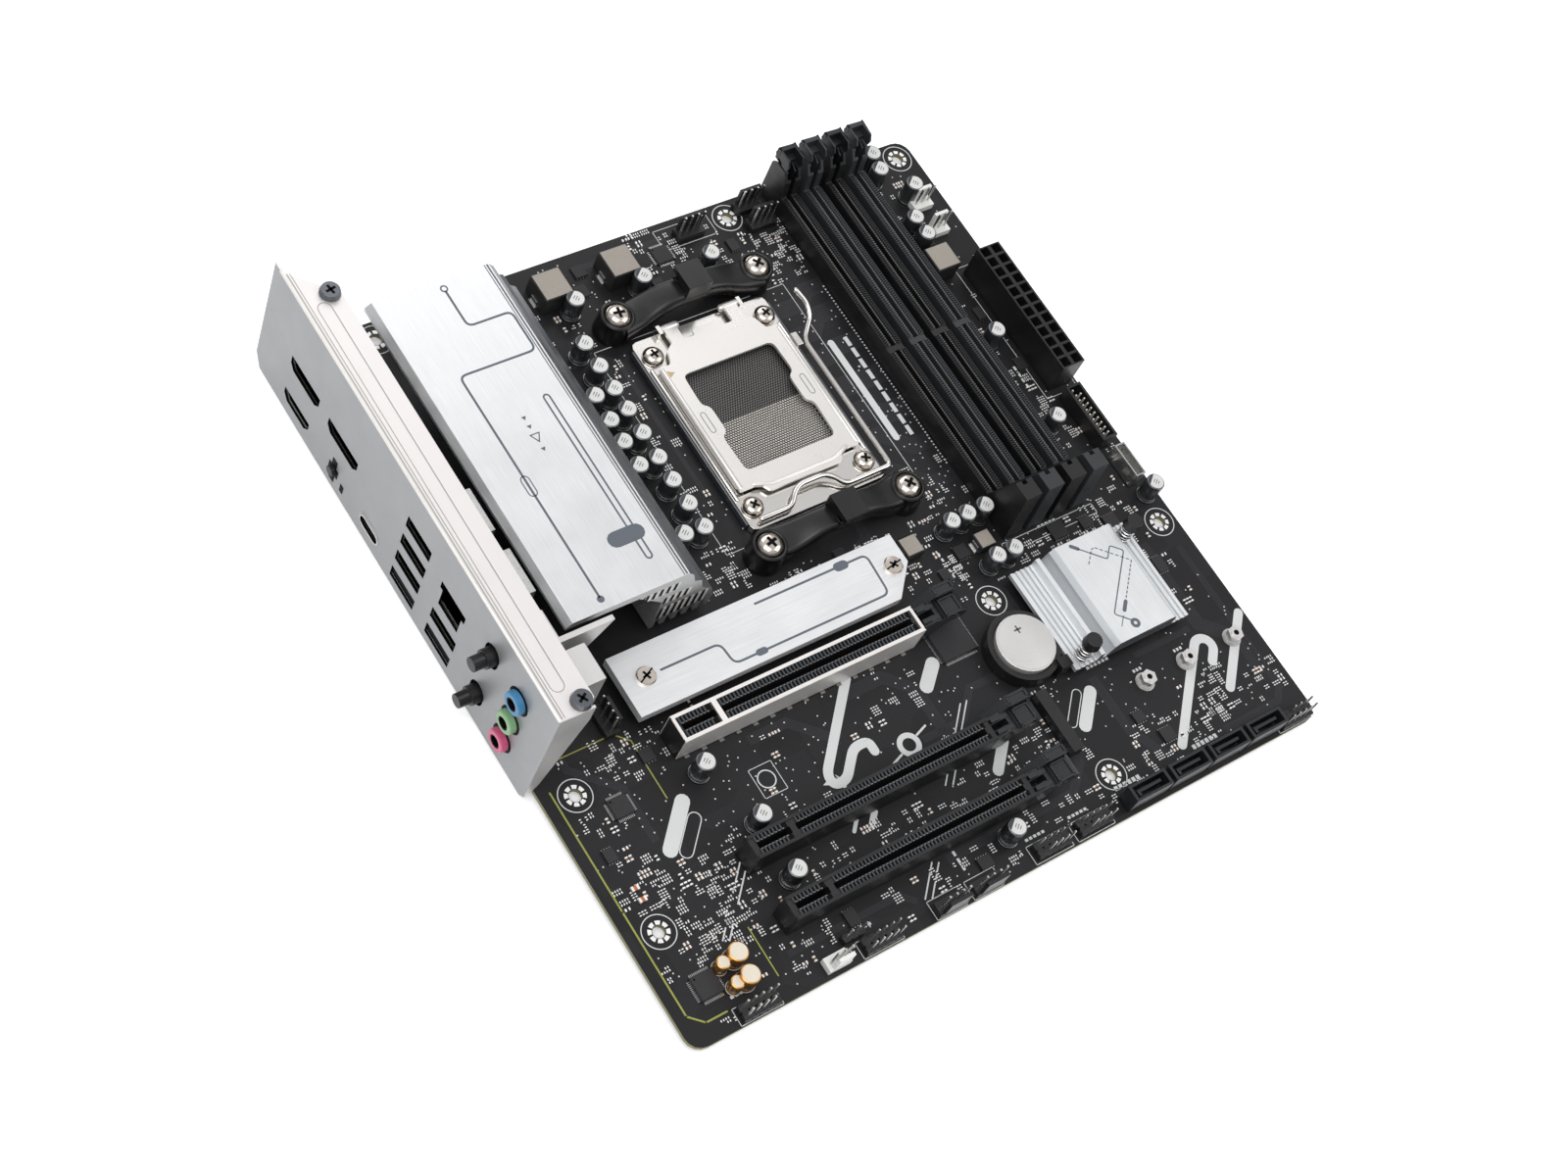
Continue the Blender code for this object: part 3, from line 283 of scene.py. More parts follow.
LOOKS = {
    "mask": solder_mask(),
    "trace": surface("buried_trace", "26262a", 0.42, fine=2600, mottle=0.1, bump=0.1),
    "silk": surface("printed_ink", "c6c8c7", 0.62, fine=3200, mottle=0.05, bump=0.3, depth=0.02),
    "black": plastic("black_plastic", "151516", 0.42, 0.2, 0.22),
    "black_gloss": surface("glossy_black_plastic", "0b0b0c", 0.34, fine=2600, mottle=0.2, bump=0.04,
                           coat=0.05),
    "grey": plastic("dark_grey_plastic", "2b2e31", 0.46, 0.15, 0.2),
    "slate": plastic("slate_plastic", "16191b", 0.4, 0.12, 0.2),
    "rim": plastic("slot_rim", "34383c", 0.42),
    "rim_dark": plastic("slot_rim_dark", "1f2123", 0.42),
    "warm": surface("warm_nickel", "d8cfc4", 0.16, 1.0, fine=1200, mottle=0.03, bump=0.0, smudge=0.03,
                    depth=0.01),
    "smoke": surface("smoked_plastic", "1d1f22", 0.3, fine=1800, mottle=0.12, bump=0.1, coat=0.15),
    "chip": surface("moulded_epoxy", "1c1c1e", 0.55, fine=3600, mottle=0.18, bump=0.35),
    # painted shade: faces turned toward +X take a darker grey, and the cut end facing -Y a shaded grey
    "brushed": surface("brushed_aluminium", "dfe0e1", 0.36, 0.82, ALONG_Y, 2600, 0.05, 0.22, 0.05, depth=0.03,
                       facing=(("X", 0.25, 0.98, "7d8084"), ("Y", -1.01, -0.7, "c9c9c8"))),
    "brushed_x": surface("brushed_aluminium_x", "e4e5e6", 0.38, 0.6, ALONG_X, 2600, 0.05, 0.22, 0.05,
                         depth=0.03),
    # painted shade: faces turned toward -X take a shaded grey, and the end facing -Y a darker one
    "brushed_low": surface("brushed_low_aluminium", "e6e8e9", 0.38, 0.65, ALONG_Y, 2600, 0.05, 0.22, 0.05,
                           depth=0.03, facing=(("X", -0.98, -0.25, "c6c9cb"), ("Y", -1.01, -0.7, "72767a"))),
    # painted light and shade: the outer face, turned to -X, is darker, the top lighter as lit, and the
    # cut-outs' edges near-black
    "panel": surface("satin_panel", "d2d1d0", 0.44, 0.7, fine=3000, mottle=0.04, bump=0.1, smudge=0.05,
                     facing=(("X", -1.01, -0.5, "96989a"), ("Z", 0.5, 1.01, "e3dfdd")), inner_shade="cut-outs"),
    "steel": surface("light_steel", "dad8d6", 0.36, 0.75, fine=2400, mottle=0.03, bump=0.05, smudge=0.05),
    # panel_top is pale like the panel's top painted as lit; groove is darker, painted shade in the pressed
    # lines
    "panel_top": surface("pearl_panel", "e9e5e1", 0.42, 0.5, fine=3000, mottle=0.04, bump=0.1, smudge=0.05),
    "groove": surface("painted_groove_shade", "a5a3a1", 0.42, 0.5, fine=3000, mottle=0.04, bump=0.08, smudge=0.05),
    "bright": surface("bright_nickel", "dcd9d5", 0.17, 1.0, fine=1600, mottle=0.02, bump=0.0, smudge=0.03,
                      depth=0.01),
    "plate": surface("pressed_nickel", "e6e3df", 0.3, 0.72, fine=1600, mottle=0.02, bump=0.0, smudge=0.03,
                     depth=0.01),
    "tin": surface("tinned_steel", "c8c8c6", 0.28, 1.0, fine=1500, mottle=0.08, bump=0.15, depth=0.03),
    # painted shade: the walls inside each socket's shell are near-black
    "shell": surface("socket_shell_shaded_inside", "c8c8c6", 0.28, 0.9, fine=1500, mottle=0.08, bump=0.1, depth=0.03,
                     inner_shade=True),
    "solder": surface("solder", "ecebe9", 0.38, 0.3, fine=1200, mottle=0.08, bump=0.2, depth=0.04),
    "gold": surface("gilt_contact", "d9b25c", 0.25, 1.0, fine=1500, mottle=0.06, bump=0.1, depth=0.02),
    "zinc": surface("dark_zinc", "6a6d72", 0.34, 0.9, fine=1600, mottle=0.1, bump=0.2),
    "ink": surface("slate_ink", "565c64", 0.5, fine=3000, mottle=0.06, bump=0.2, depth=0.02),
    # painted shade, near-black, for holes, slots and recesses
    "dark": surface("painted_recess_shade", "070708", 0.6, fine=1800, mottle=0.2, bump=0.1),
    "can": surface("capacitor_can", "5a5c5f", 0.3, 0.85, fine=1500, mottle=0.1, bump=0.1, coat=0.2),
    "can_top": surface("capacitor_top", "cfcfcd", 0.42, 0.2, fine=2400, mottle=0.05, bump=0.15),
    "can_mark": surface("capacitor_mark", "33363a", 0.45, fine=2400, mottle=0.08, bump=0.15),
    "gold_can": surface("gold_can", "b98a4e", 0.3, 0.9, fine=1500, mottle=0.08, bump=0.1),
    "gold_top": surface("gold_can_top", "e5dccb", 0.36, 0.5, fine=2400, mottle=0.05, bump=0.15),
    "choke": surface("pressed_ferrite", "958e85", 0.55, 0.15, fine=3400, mottle=0.12, bump=0.4),
    "choke_side": surface("ferrite_side", "232221", 0.5, fine=2600, mottle=0.15, bump=0.3),
    "brown": surface("ceramic_brown", "6d5138", 0.45, fine=2400, mottle=0.15, bump=0.15),
    "orange": surface("ceramic_orange", "b0642c", 0.4, fine=2400, mottle=0.12, bump=0.15),
    "cell": surface("cell_steel", "d4d3d1", 0.34, 0.6, fine=2600, mottle=0.04, bump=0.12, depth=0.02),
    "white": plastic("white_plastic", "dcdcd8", 0.42, 0.05),
    "blue": plastic("blue_plastic", "3f7da6"),
    "green": plastic("green_plastic", "7fa87c"),
    "pink": plastic("pink_plastic", "c8577d"),
    "olive": surface("olive_line", "8c8f3f", 0.5, fine=2600, mottle=0.1, bump=0.15),
    "contact_dark": surface("contact_shaded", "7b7874", 0.4, 0.6, fine=2000, mottle=0.1, bump=0.1),
    "contact_bright": surface("contact_lit", "e6e1d8", 0.34, 0.5, fine=2000, mottle=0.08, bump=0.1),
    "tan": surface("tan_mark", "b9a27c", 0.45, 0.4, fine=2600, mottle=0.06, bump=0.15),
}

# the painted shade of recesses hardly reflects
LOOKS["dark"].node_tree.nodes["Principled BSDF"].inputs["Specular IOR Level"].default_value = 0.1

# ---------------------------------------------------------------- building in mesh code


def arc(centre, radius, start, end, steps):
    """Points of an arc, with angles in degrees."""
    angles = [math.radians(start + (end - start) * i / steps) for i in range(steps + 1)]
    return [(centre[0] + radius * math.cos(a), centre[1] + radius * math.sin(a)) for a in angles]


def circle(centre, radius, steps=24):
    """Points evenly round a circle, the first not repeated."""
    return arc(centre, radius, 0.0, 360.0 * (steps - 1) / steps, steps - 1)


def rectangle(low, high):
    """The corners of a flat rectangle, from its lowest and highest corner."""
    return [(low[0], low[1]), (high[0], low[1]), (high[0], high[1]), (low[0], high[1])]


def rounded_rectangle(low, high, radius, steps=4):
    """A rectangle's outline with its corners rounded."""
    x0, y0, x1, y1 = low[0] + radius, low[1] + radius, high[0] - radius, high[1] - radius
    corners = (((x1, y0), -90.0), ((x1, y1), 0.0), ((x0, y1), 90.0), ((x0, y0), 180.0))
    return [p for centre, start in corners for p in arc(centre, radius, start, start + 90.0, steps)]


def turned(points, centre, degrees):
    """Flat points turned about a centre."""
    c, s = math.cos(math.radians(degrees)), math.sin(math.radians(degrees))
    moved = [(x - centre[0], y - centre[1]) for x, y in points]
    return [(centre[0] + c * x - s * y, centre[1] + s * x + c * y) for x, y in moved]


def rounded(path, radius, steps=5):
    """The path, flat or in space, with its corners drawn as curves that start radius before them."""
    points = [Vector(p) for p in path]
    result = [points[0]]
    for before, corner, after in zip(points, points[1:], points[2:]):
        back, ahead = before - corner, after - corner
        start = corner + back.normalized() * min(radius, back.length / 2)
        end = corner + ahead.normalized() * min(radius, ahead.length / 2)
        for i in range(steps + 1):
            t = i / steps
            result.append(start * (1 - t) ** 2 + corner * (2 * t * (1 - t)) + end * t ** 2)
    return result + [points[-1]]


def offset_path(path, distance):
    """A flat path moved sideways, to its left for a positive distance."""
    points = [Vector(p[:2]) for p in path]
    moved = []
    for i, point in enumerate(points):
        before = points[max(i - 1, 0)]
        after = points[min(i + 1, len(points) - 1)]
        first = (point - before).normalized() if i else (after - point).normalized()
        last = (after - point).normalized() if i < len(points) - 1 else first
        side = Vector((-(first.y + last.y), first.x + last.x))
        side.normalize()
        lean = max(0.5, side.dot(Vector((-first.y, first.x))))
        moved.append(point + side * (distance / lean))
    return moved


def stroke_outline(path, width, steps=6):
    """The outline of a line along path, with half-round ends."""
    points = [Vector(p[:2]) for p in path]
    left = offset_path(points, width / 2)
    right = offset_path(points, -width / 2)[::-1]
    caps = []
    for tip, before in ((points[-1], points[-2]), (points[0], points[1])):
        way = tip - before
        start = math.degrees(math.atan2(way.y, way.x)) + 90.0
        caps.append(arc(tip, width / 2, start - 180.0 / steps, start - 180.0 + 180.0 / steps, steps - 2))
    return [tuple(p) for p in left] + caps[0] + [tuple(p) for p in right] + caps[1]


# how a flat outline's point and its height are placed in space, by the axis of the height
AXES = {
    "Z": lambda p, h: (p[0], p[1], h),
    "X": lambda p, h: (h, p[0], p[1]),
    "Y": lambda p, h: (p[0], h, p[1]),
}


class Shape:
    """Mesh parts gathered into one piece. Each face keeps the number of its material."""

    def __init__(self):
        self.points = []
        self.faces = []
        self.looks = []

    def add(self, points, faces, look=0):
        first = len(self.points)
        self.points.extend(tuple(p) for p in points)
        self.faces.extend([first + i for i in face] for face in faces)
        self.looks.extend([look] * len(faces))

    def prism(self, outline, low, high, look=0, axis="Z", top_look=None, shrink=None):
        """A flat outline pushed from low to high along an axis. shrink pulls in the high end."""
        place = AXES[axis]
        count = len(outline)
        far = outline if shrink is None else shrink
        points = [place(p, low) for p in outline] + [place(p, high) for p in far]
        sides = [(i, (i + 1) % count, count + (i + 1) % count, count + i) for i in range(count)]
        self.add(points, [range(count)[::-1]] + sides, look)
        self.add(points[count:], [range(count)], look if top_look is None else top_look)

    def box(self, first, second, look=0):
        """A box between two opposite corners, in either order along each axis."""
        low, high = zip(*[sorted(pair) for pair in zip(first, second)])
        self.prism(rectangle(low, high), low[2], high[2], look)

    def boxes(self, centres, half, low, high, look=0):
        """Upright boxes of one size round flat centres. half is half the size along X and Y."""
        for x, y in centres:
            self.box((x - half[0], y - half[1], low), (x + half[0], y + half[1], high), look)

    def tapered(self, centre, half, low, high, end_half, look=0):
        """A square peg that narrows from half its width to end_half."""
        (x, y), (a, b) = centre, (half, end_half)
        wide = rectangle((x - a, y - a), (x + a, y + a))
        self.prism(wide, low, high, look, shrink=rectangle((x - b, y - b), (x + b, y + b)))

    def block(self, low, high, chamfer, look=0, top_look=None):
        """A box whose top edges are chamfered."""
        step = high[2] - chamfer
        self.prism(rectangle(low, high), low[2], step, look)
        inner = rectangle((low[0] + chamfer, low[1] + chamfer), (high[0] - chamfer, high[1] - chamfer))
        self.prism(rectangle(low, high), step, high[2], look, top_look=top_look, shrink=inner)

    def turned_box(self, centre, size, low, high, degrees, look=0):
        """An upright box turned about its middle."""
        (x, y), (wide, deep) = centre, size
        flat = rectangle((x - wide / 2, y - deep / 2), (x + wide / 2, y + deep / 2))
        self.prism(turned(flat, centre, degrees), low, high, look)

    def band(self, outer, inner, low, high, look=0, axis="Z", whole=True):
        """The flat band between two outlines with equal numbers of points, or between two lines."""
        place = AXES[axis]
        n = len(outer)
        points = [place(p, h) for line in (outer, inner) for h in (low, high) for p in line]
        faces = [] if whole else [(0, n, 3 * n, 2 * n), (n - 1, 3 * n - 1, 4 * n - 1, 2 * n - 1)]
        for i in range(n if whole else n - 1):
            j = (i + 1) % n
            for a, b in ((0, n), (n, 3 * n), (3 * n, 2 * n), (2 * n, 0)):
                faces.append((a + i, a + j, b + j, b + i))
        self.add(points, faces, look)

    def ring(self, centre, inner, outer, low, high, look=0, steps=32):
        self.band(circle(centre, outer, steps), circle(centre, inner, steps), low, high, look)

    def ring_part(self, centre, inner, outer, angles, low, high, look=0, steps=5):
        """Part of a flat ring, between two angles."""
        lines = [arc(centre, radius, *angles, steps) for radius in (outer, inner)]
        self.band(*lines, low, high, look, whole=False)

    def lathe(self, centre, profile, look=0, axis="Z", steps=24, looks=None):
        """A profile of (radius, height) turned about an axis through centre."""
        angles = [math.tau * i / steps for i in range(steps)]
        rings = []
        for r, h in profile:
            flat = [AXES[axis]((r * math.cos(a), r * math.sin(a)), h) for a in angles]
            rings.append([tuple(c + p for c, p in zip(centre, point)) for point in flat])
        self.loft(rings, looks or [look] * (len(profile) - 1), ends=profile[0] != profile[-1])

    def stroke(self, path, width, surface_z, rise=PRINT_RISE):
        """A printed line with half-round ends."""
        self.prism(stroke_outline(path, width), surface_z, surface_z + rise)

    def outline_stroke(self, path, width, line, surface_z, look=0, rise=PRINT_RISE, axis="Z"):
        """The outline of a wide line, as a closed loop of thin line."""
        outer, inner = stroke_outline(path, width), stroke_outline(path, width - 2 * line)
        self.band(outer, inner, surface_z, surface_z + rise, look, axis)

    def tube(self, path, radius, look=0, steps=12):
        """A round wire along a path in space, with domed ends."""
        points = [Vector(p) for p in path]
        ways = [(b - a).normalized() for a, b in zip(points, points[1:])]
        ways = [ways[0]] + [(a + b).normalized() for a, b in zip(ways, ways[1:])] + [ways[-1]]
        side = ways[0].orthogonal().normalized()
        rings = []
        for point, way in zip(points, ways):
            side = (side - way * side.dot(way)).normalized()
            rings.append((point, way, side, radius))
        first, last = rings[0], rings[-1]
        dome = [(0.55, 0.83), (0.9, 0.44)]
        front = [(first[0] - first[1] * radius * d, first[1], first[2], radius * r) for d, r in dome[::-1]]
        back = [(last[0] + last[1] * radius * d, last[1], last[2], radius * r) for d, r in dome]
        rings = front + rings + back
        skins = []
        for point, way, side, r in rings:
            other = way.cross(side)
            angles = [math.tau * i / steps for i in range(steps)]
            skins.append([point + side * (r * math.cos(a)) + other * (r * math.sin(a)) for a in angles])
        self.loft(skins, [look] * (len(skins) - 1))

    def loft(self, rings, looks, ends=True):
        """Skins equal rings of points, each band in its own look, and closes the ends."""
        n = len(rings[0])
        for near, far, look in zip(rings, rings[1:], looks):
            self.add(near + far, [(i, (i + 1) % n, n + (i + 1) % n, n + i) for i in range(n)], look)
        if ends:
            self.add(rings[0], [range(n)[::-1]], looks[0])
            self.add(rings[-1], [range(n)], looks[-1])

    def done(self, name, looks, body="board", bevel=0.0):
        """Makes the object, riding on a body, with the looks in the order of their numbers."""
        mesh = bpy.data.meshes.new(name)
        mesh.from_pydata([[c * MM for c in p] for p in self.points], [], self.faces)
        mesh.polygons.foreach_set("material_index", self.looks)
        for look in looks:
            mesh.materials.append(LOOKS[look])
        bm = bmesh.new()
        bm.from_mesh(mesh)
        bmesh.ops.remove_doubles(bm, verts=bm.verts, dist=1e-7)
        bmesh.ops.recalc_face_normals(bm, faces=bm.faces)
        bm.to_mesh(mesh)
        bm.free()
        mesh.polygons.foreach_set("use_smooth", [True] * len(mesh.polygons))
        mesh.set_sharp_from_angle(angle=math.radians(32.0))
        piece = bpy.data.objects.new(name, mesh)
        bpy.context.scene.collection.objects.link(piece)
        piece.location = CORNER
        if bevel:
            soften(piece, bevel)
        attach(piece, body)
        return piece


def soften(piece, width):
    """Rounds a piece's sharp edges."""
    bevel = piece.modifiers.new("edges", "BEVEL")
    bevel.width = width * MM
    bevel.segments = 2
    bevel.limit_method = "ANGLE"
    bevel.angle_limit = math.radians(34.0)
    bevel.harden_normals = True


# the look of each CAD node and how far its edges are rounded; the first name that a node's name starts
# with counts, and any other node is plain black
NODE_LOOKS = {
    "circuit_board": ("mask", 0.0), "socket_backplate": ("tin", 0.2), "cpu_socket": ("chip", 0.12),
    "socket_frame": ("bright", 0.3), "load_plate": ("plate", 0.42), "cooler_bracket": ("black_gloss", 0.0),
    "io_shield": ("panel", 0.0), "display": ("shell", 0.2), "usb_c_port": ("shell", 0.2),
    "usb_stack": ("shell", 0.2), "lan_usb_stack": ("shell", 0.2), "bios": ("black", 0.15),
    "audio_jacks": ("black", 0.15), "wifi_module": ("steel", 0.2), "vrm_heatsink": ("brushed", 0.12),
    "m2_heatsink": ("brushed_x", 0.12), "chipset_heatsink": ("brushed_low", 0.08),
    "m2_socket": ("black", 0.1), "usb_c_header": ("tin", 0.08), "battery_holder": ("black", 0.2),
    "battery": ("cell", 0.25), "shield_screw": ("zinc", 0.15), "socket_screw": ("bright", 0.15),
    "bracket_screw": ("bright", 0.15), "dimm_slot_2": ("grey", 0.1), "dimm_slot_4": ("grey", 0.1),
    "dimm_slot": ("black", 0.1), "dimm_latch": ("grey", 0.25), "pcie_slot": ("black", 0.1),
    "pcie_latch": ("smoke", 0.25), "push_pin": ("black", 0.2), "sata": ("slate", 0.15), "": ("black", 0.12),
}


def dress_nodes():
    """Gives each CAD node its material and slightly rounded edges."""
    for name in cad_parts:
        look, width = next(NODE_LOOKS[start] for start in NODE_LOOKS if name.startswith(start))
        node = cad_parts[name]
        if not node.material_slots:
            node.data.materials.append(None)
        for slot in node.material_slots:
            slot.material = LOOKS[look]
        weld = node.modifiers.new("weld", "WELD")
        weld.merge_threshold = 0.002 * MM
        if width:
            flat = node.modifiers.new("flats", "DECIMATE")
            flat.decimate_type = "DISSOLVE"
            flat.angle_limit = math.radians(0.5)
            soften(node, width)


# ---------------------------------------------------------------- keeping small parts clear of big ones

TAKEN = []


def take(x, y, reach_x, reach_y=None):
    """Keeps small parts off a place: its middle and how far it reaches along X and Y."""
    reach_y = reach_x if reach_y is None else reach_y
    TAKEN.append((x - reach_x, y - reach_y, x + reach_x, y + reach_y))


# printed bars and outlined bars, as start, end and width
BARS = [
    ((134.0, 70.0), (127.5, 64.3), 4.5), ((139.5, 38.7), (132.0, 31.2), 3.6),
    ((176.3, 40.1), (167.4, 31.2), 4.2), ((37.6, 65.2), (26.2, 53.8), 4.6),
    ((242.0, 41.3), (221.6, 20.9), 3.2),
]
OUTLINED_BARS = [((171.6, 41.4), (164.0, 33.8), 3.4), ((37.9, 59.0), (30.3, 51.4), 4.4)]
# straight lines that cover the printed hooks and the printed ring
HOOK_COVER = [
    ((105.5, 77.5), (82.0, 53.5), 3.1), ((86.7, 49.4), (94.4, 57.2), 3.1), ((82.0, 49.4), (86.7, 49.4), 3.1),
    ((200.0, 18.6), (222.3, 40.0), 4.2), ((108.0, 47.4), (114.2, 53.6), 6.0),
]


def is_free(low_x, low_y, high_x, high_y):
    """Whether a rectangle is clear of the taken places and of the wide printed bars."""
    gap = 0.15
    for a, b, c, d in TAKEN:
        if low_x < c + gap and high_x > a - gap and low_y < d + gap and high_y > b - gap:
            return False
    centre = Vector(((low_x + high_x) / 2, (low_y + high_y) / 2))
    for start, end, width in BARS + OUTLINED_BARS + HOOK_COVER:
        along, away = Vector(end) - Vector(start), centre - Vector(start)
        share = max(0.0, min(1.0, away.dot(along) / along.length_squared))
        if (away - along * share).length < width / 2 + 0.8:
            return False
    return True


def take_cad_places():
    """Keeps small parts off every low CAD node and off the mounting holes' rings."""
    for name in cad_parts:
        low, high = span(name)
        if name not in ("circuit_board", "socket_backplate") and low.z < 3.4:
            TAKEN.append((low.x, low.y, high.x, high.y))
    for x, y in MOUNTING_HOLES:
        take(x, y, 5.6)


MOUNTING_HOLES = [
    (33.02, 237.65), (165.10, 237.65), (237.49, 237.65), (10.16, 80.17),
    (165.10, 80.17), (237.49, 80.17), (10.16, 34.45), (165.10, 14.13),
]

# ---------------------------------------------------------------- parts soldered to the board

CAN_RADIUS, CAN_TOP = 3.15, 8.9
CANS = [
    (94.8, 223.6), (120.3, 223.4), (146.6, 223.3), (88.7, 208.2), (88.7, 199.2), (88.7, 190.3),
    (81.8, 190.3), (88.7, 182.2), (81.5, 180.9), (88.5, 173.1), (81.3, 172.6), (88.4, 163.6),
    (81.4, 163.5), (88.3, 154.9), (88.4, 145.9), (88.5, 136.9), (81.5, 137.3), (164.3, 106.7),
    (170.9, 107.0), (178.2, 107.0), (171.2, 90.3), (178.2, 90.3), (223.6, 238.3), (222.4, 231.7),
    (230.7, 222.1), (222.7, 210.2), (222.8, 203.2), (222.8, 161.2), (222.6, 125.2), (239.1, 90.4),
    (46.5, 70.4), (52.9, 49.5), (52.9, 30.7), (121.2, 11.8),
]
AUDIO_CANS = [(24.4, 17.9, 3.1, 7.0), (24.0, 10.8, 3.1, 7.0), (19.5, 17.5, 2.2, 5.6), (20.1, 10.8, 2.2, 5.6)]


def can(shape, x, y, radius, top, mark_turn):
    """A can capacitor: waist, rounded shoulder, foot ring, and a flat top with a dark segment."""
    profile = [
        (radius - 0.15, 0.25), (radius, 0.45), (radius, 1.0), (radius - 0.22, 1.35), (radius, 1.7),
        (radius, top - 0.55), (radius - 0.12, top - 0.2), (radius - 0.45, top),
    ]
    shape.lathe((x, y, 0.0), profile, 0, steps=28)
    shape.ring((x, y), radius + 0.02, radius + 0.16, 0.5, 0.75, 3)
    lid = radius - 0.5
    chord = 54.0
    bright = arc((x, y), lid, mark_turn + chord, mark_turn + 360.0 - chord, 18)
    dark = arc((x, y), lid, mark_turn - chord, mark_turn + chord, 9)
    shape.prism(bright, top, top + 0.05, 1)
    shape.prism(dark, top, top + 0.05, 2)
    bars = ((-0.25, 0.26), (0.05, 0.34), (0.35, 0.24)) if top == CAN_TOP else ()
    away = Vector((math.cos(math.radians(mark_turn)), math.sin(math.radians(mark_turn))))
    for back, reach in bars:
        place = Vector((x, y)) - away * lid * back
        shape.turned_box(place, (0.22, lid * reach * 2), top + 0.04, top + 0.08, mark_turn, 2)
    take(x, y, radius + 0.6)


def capacitors():
    """The can capacitors, and the gold ones of the sound section."""
    shape = Shape()
    for x, y in CANS:
        can(shape, x, y, CAN_RADIUS, CAN_TOP, 128.0)
    shape.done("capacitors", ["can", "can_top", "can_mark", "tin"])
    shape = Shape()
    for x, y, radius, top in AUDIO_CANS:
        can(shape, x, y, radius, top, 300.0)
    shape.done("audio_capacitors", ["gold_can", "gold_top", "gold_top", "silk"])


def chokes():
    """Pressed coils: a square block with a lighter top and tinned tabs at two sides."""
    shape = Shape()
    for x, y, half, top in ((91.2, 231.7, 5.2, 7.8), (116.7, 231.7, 5.2, 7.8), (223.2, 193.6, 4.8, 7.4),
                            (149.5, 106.3, 3.4, 4.0), (173.9, 98.4, 3.0, 4.0)):
        shape.block((x - half, y - half, 0.2), (x + half, y + half, top), 0.35, 0, 1)
        for side in (-1, 1):
            edge = x + side * half
            shape.boxes([(edge, y)], (0.35, 1.6), 0.05, 2.6, 2)
            shape.boxes([(edge, y)], (0.9, 1.9), 0.0, 0.2, 2)
        take(x, y, half + 1)
    shape.done("chokes", ["choke_side", "choke", "tin"], bevel=0.25)


def leads(shape, x, y, half, count, look):
    """Leads along the four sides of a square package."""
    for i in range(count):
        step = (i + 0.5) / count * 2 - 1
        for side in (-1, 1):
            edge, across = side * (half + 0.45), step * (half - 0.5)
            shape.boxes([(x + edge, y + across)], (0.5, 0.11), 0.0, 0.22, look)
            shape.boxes([(x + across, y + edge)], (0.11, 0.5), 0.0, 0.22, look)


def chips():
    """Flat packages with leads, and small square ones with pads under their edges."""
    shape = Shape()
    for x, y, half, top, count in ((143.9, 74.7, 6.6, 1.5, 24), (13.7, 15.0, 3.8, 1.4, 12),
                                   (20.0, 71.4, 3.2, 1.1, 10), (135.5, 232.6, 3.2, 0.95, 9)):
        shape.block((x - half, y - half, 0.15), (x + half, y + half, top), 0.25, 0)
        shape.lathe((x - half * 0.72, y + half * 0.72, top), [(0.35, 0.0), (0.32, 0.02)], 2, steps=12)
        leads(shape, x, y, half, count, 1)
        take(x, y, half + 1)
    for x, y, half_x, half_y, top in SMALL_CHIPS:
        shape.block((x - half_x, y - half_y, 0.1), (x + half_x, y + half_y, top), 0.12, 0)
        pads = max(3, int(half_x * 2 / 0.9))
        for i in range(pads):
            across = x - half_x + (i + 0.5) / pads * half_x * 2
            for side in (-1, 1):
                shape.boxes([(across, y + side * half_y)], (0.18, 0.3), 0.0, 0.18, 1)
        take(x, y, half_x + 0.4, half_y + 0.4)
    shape.done("chips", ["chip", "tin", "dark"])


SMALL_CHIPS = [
    (102.6, 229.6, 2.3, 2.3, 0.9), (128.2, 222.4, 2.0, 2.6, 0.9), (105.8, 236.6, 2.2, 2.2, 0.9),
    (190.8, 17.0, 2.4, 2.4, 1.0), (165.8, 98.6, 2.4, 2.4, 1.2), (221.2, 87.2, 2.6, 2.6, 0.9),
    (227.0, 67.2, 2.0, 3.0, 0.9), (201.5, 92.0, 3.0, 3.0, 0.9), (212.6, 90.6, 2.2, 2.2, 0.9),
    (156.0, 93.4, 1.8, 2.4, 0.9), (128.0, 114.2, 2.0, 1.6, 0.9), (63.0, 12.6, 2.0, 2.6, 1.0),
    (110.2, 8.6, 2.4, 2.0, 1.0), (185.6, 26.0, 2.0, 2.0, 0.9), (9.4, 60.0, 1.8, 2.2, 0.9),
    (227.6, 205.4, 1.8, 2.6, 0.9), (227.0, 172.4, 1.6, 2.4, 0.9), (78.6, 202.6, 1.8, 1.8, 0.9),
    (160.6, 227.4, 1.8, 2.4, 0.9), (35.6, 82.0, 2.2, 2.2, 0.9), (228.6, 150.0, 1.8, 2.4, 0.9),
]


def standoffs():
    """Hex standoffs with a thread hole, on round pads."""
    shape = Shape()
    for x in (195.6, 213.2, 233.7):
        y = 35.0
        shape.ring((x, y), 0.5, 3.3, 0.0, 0.1, 1)
        shape.prism(arc((x, y), 2.55, 12.0, 312.0, 5), 0.1, 1.5, 0)
        shape.lathe((x, y, 1.5), [(2.1, 0.0), (2.1, 1.0), (1.9, 1.15)], 0)
        shape.prism(arc((x, y), 2.75, 12.0, 312.0, 5), 2.0, 3.4, 0)
        shape.ring((x, y), 0.95, 1.75, 3.4, 3.75, 0)
        # painted shade: the thread hole is a near-black disc
        shape.lathe((x, y, 3.4), [(0.95, 0.0), (0.9, 0.02)], 2)
        take(x, y, 3.5)
    shape.done("storage_standoffs", ["steel", "tin", "dark"], bevel=0.12)


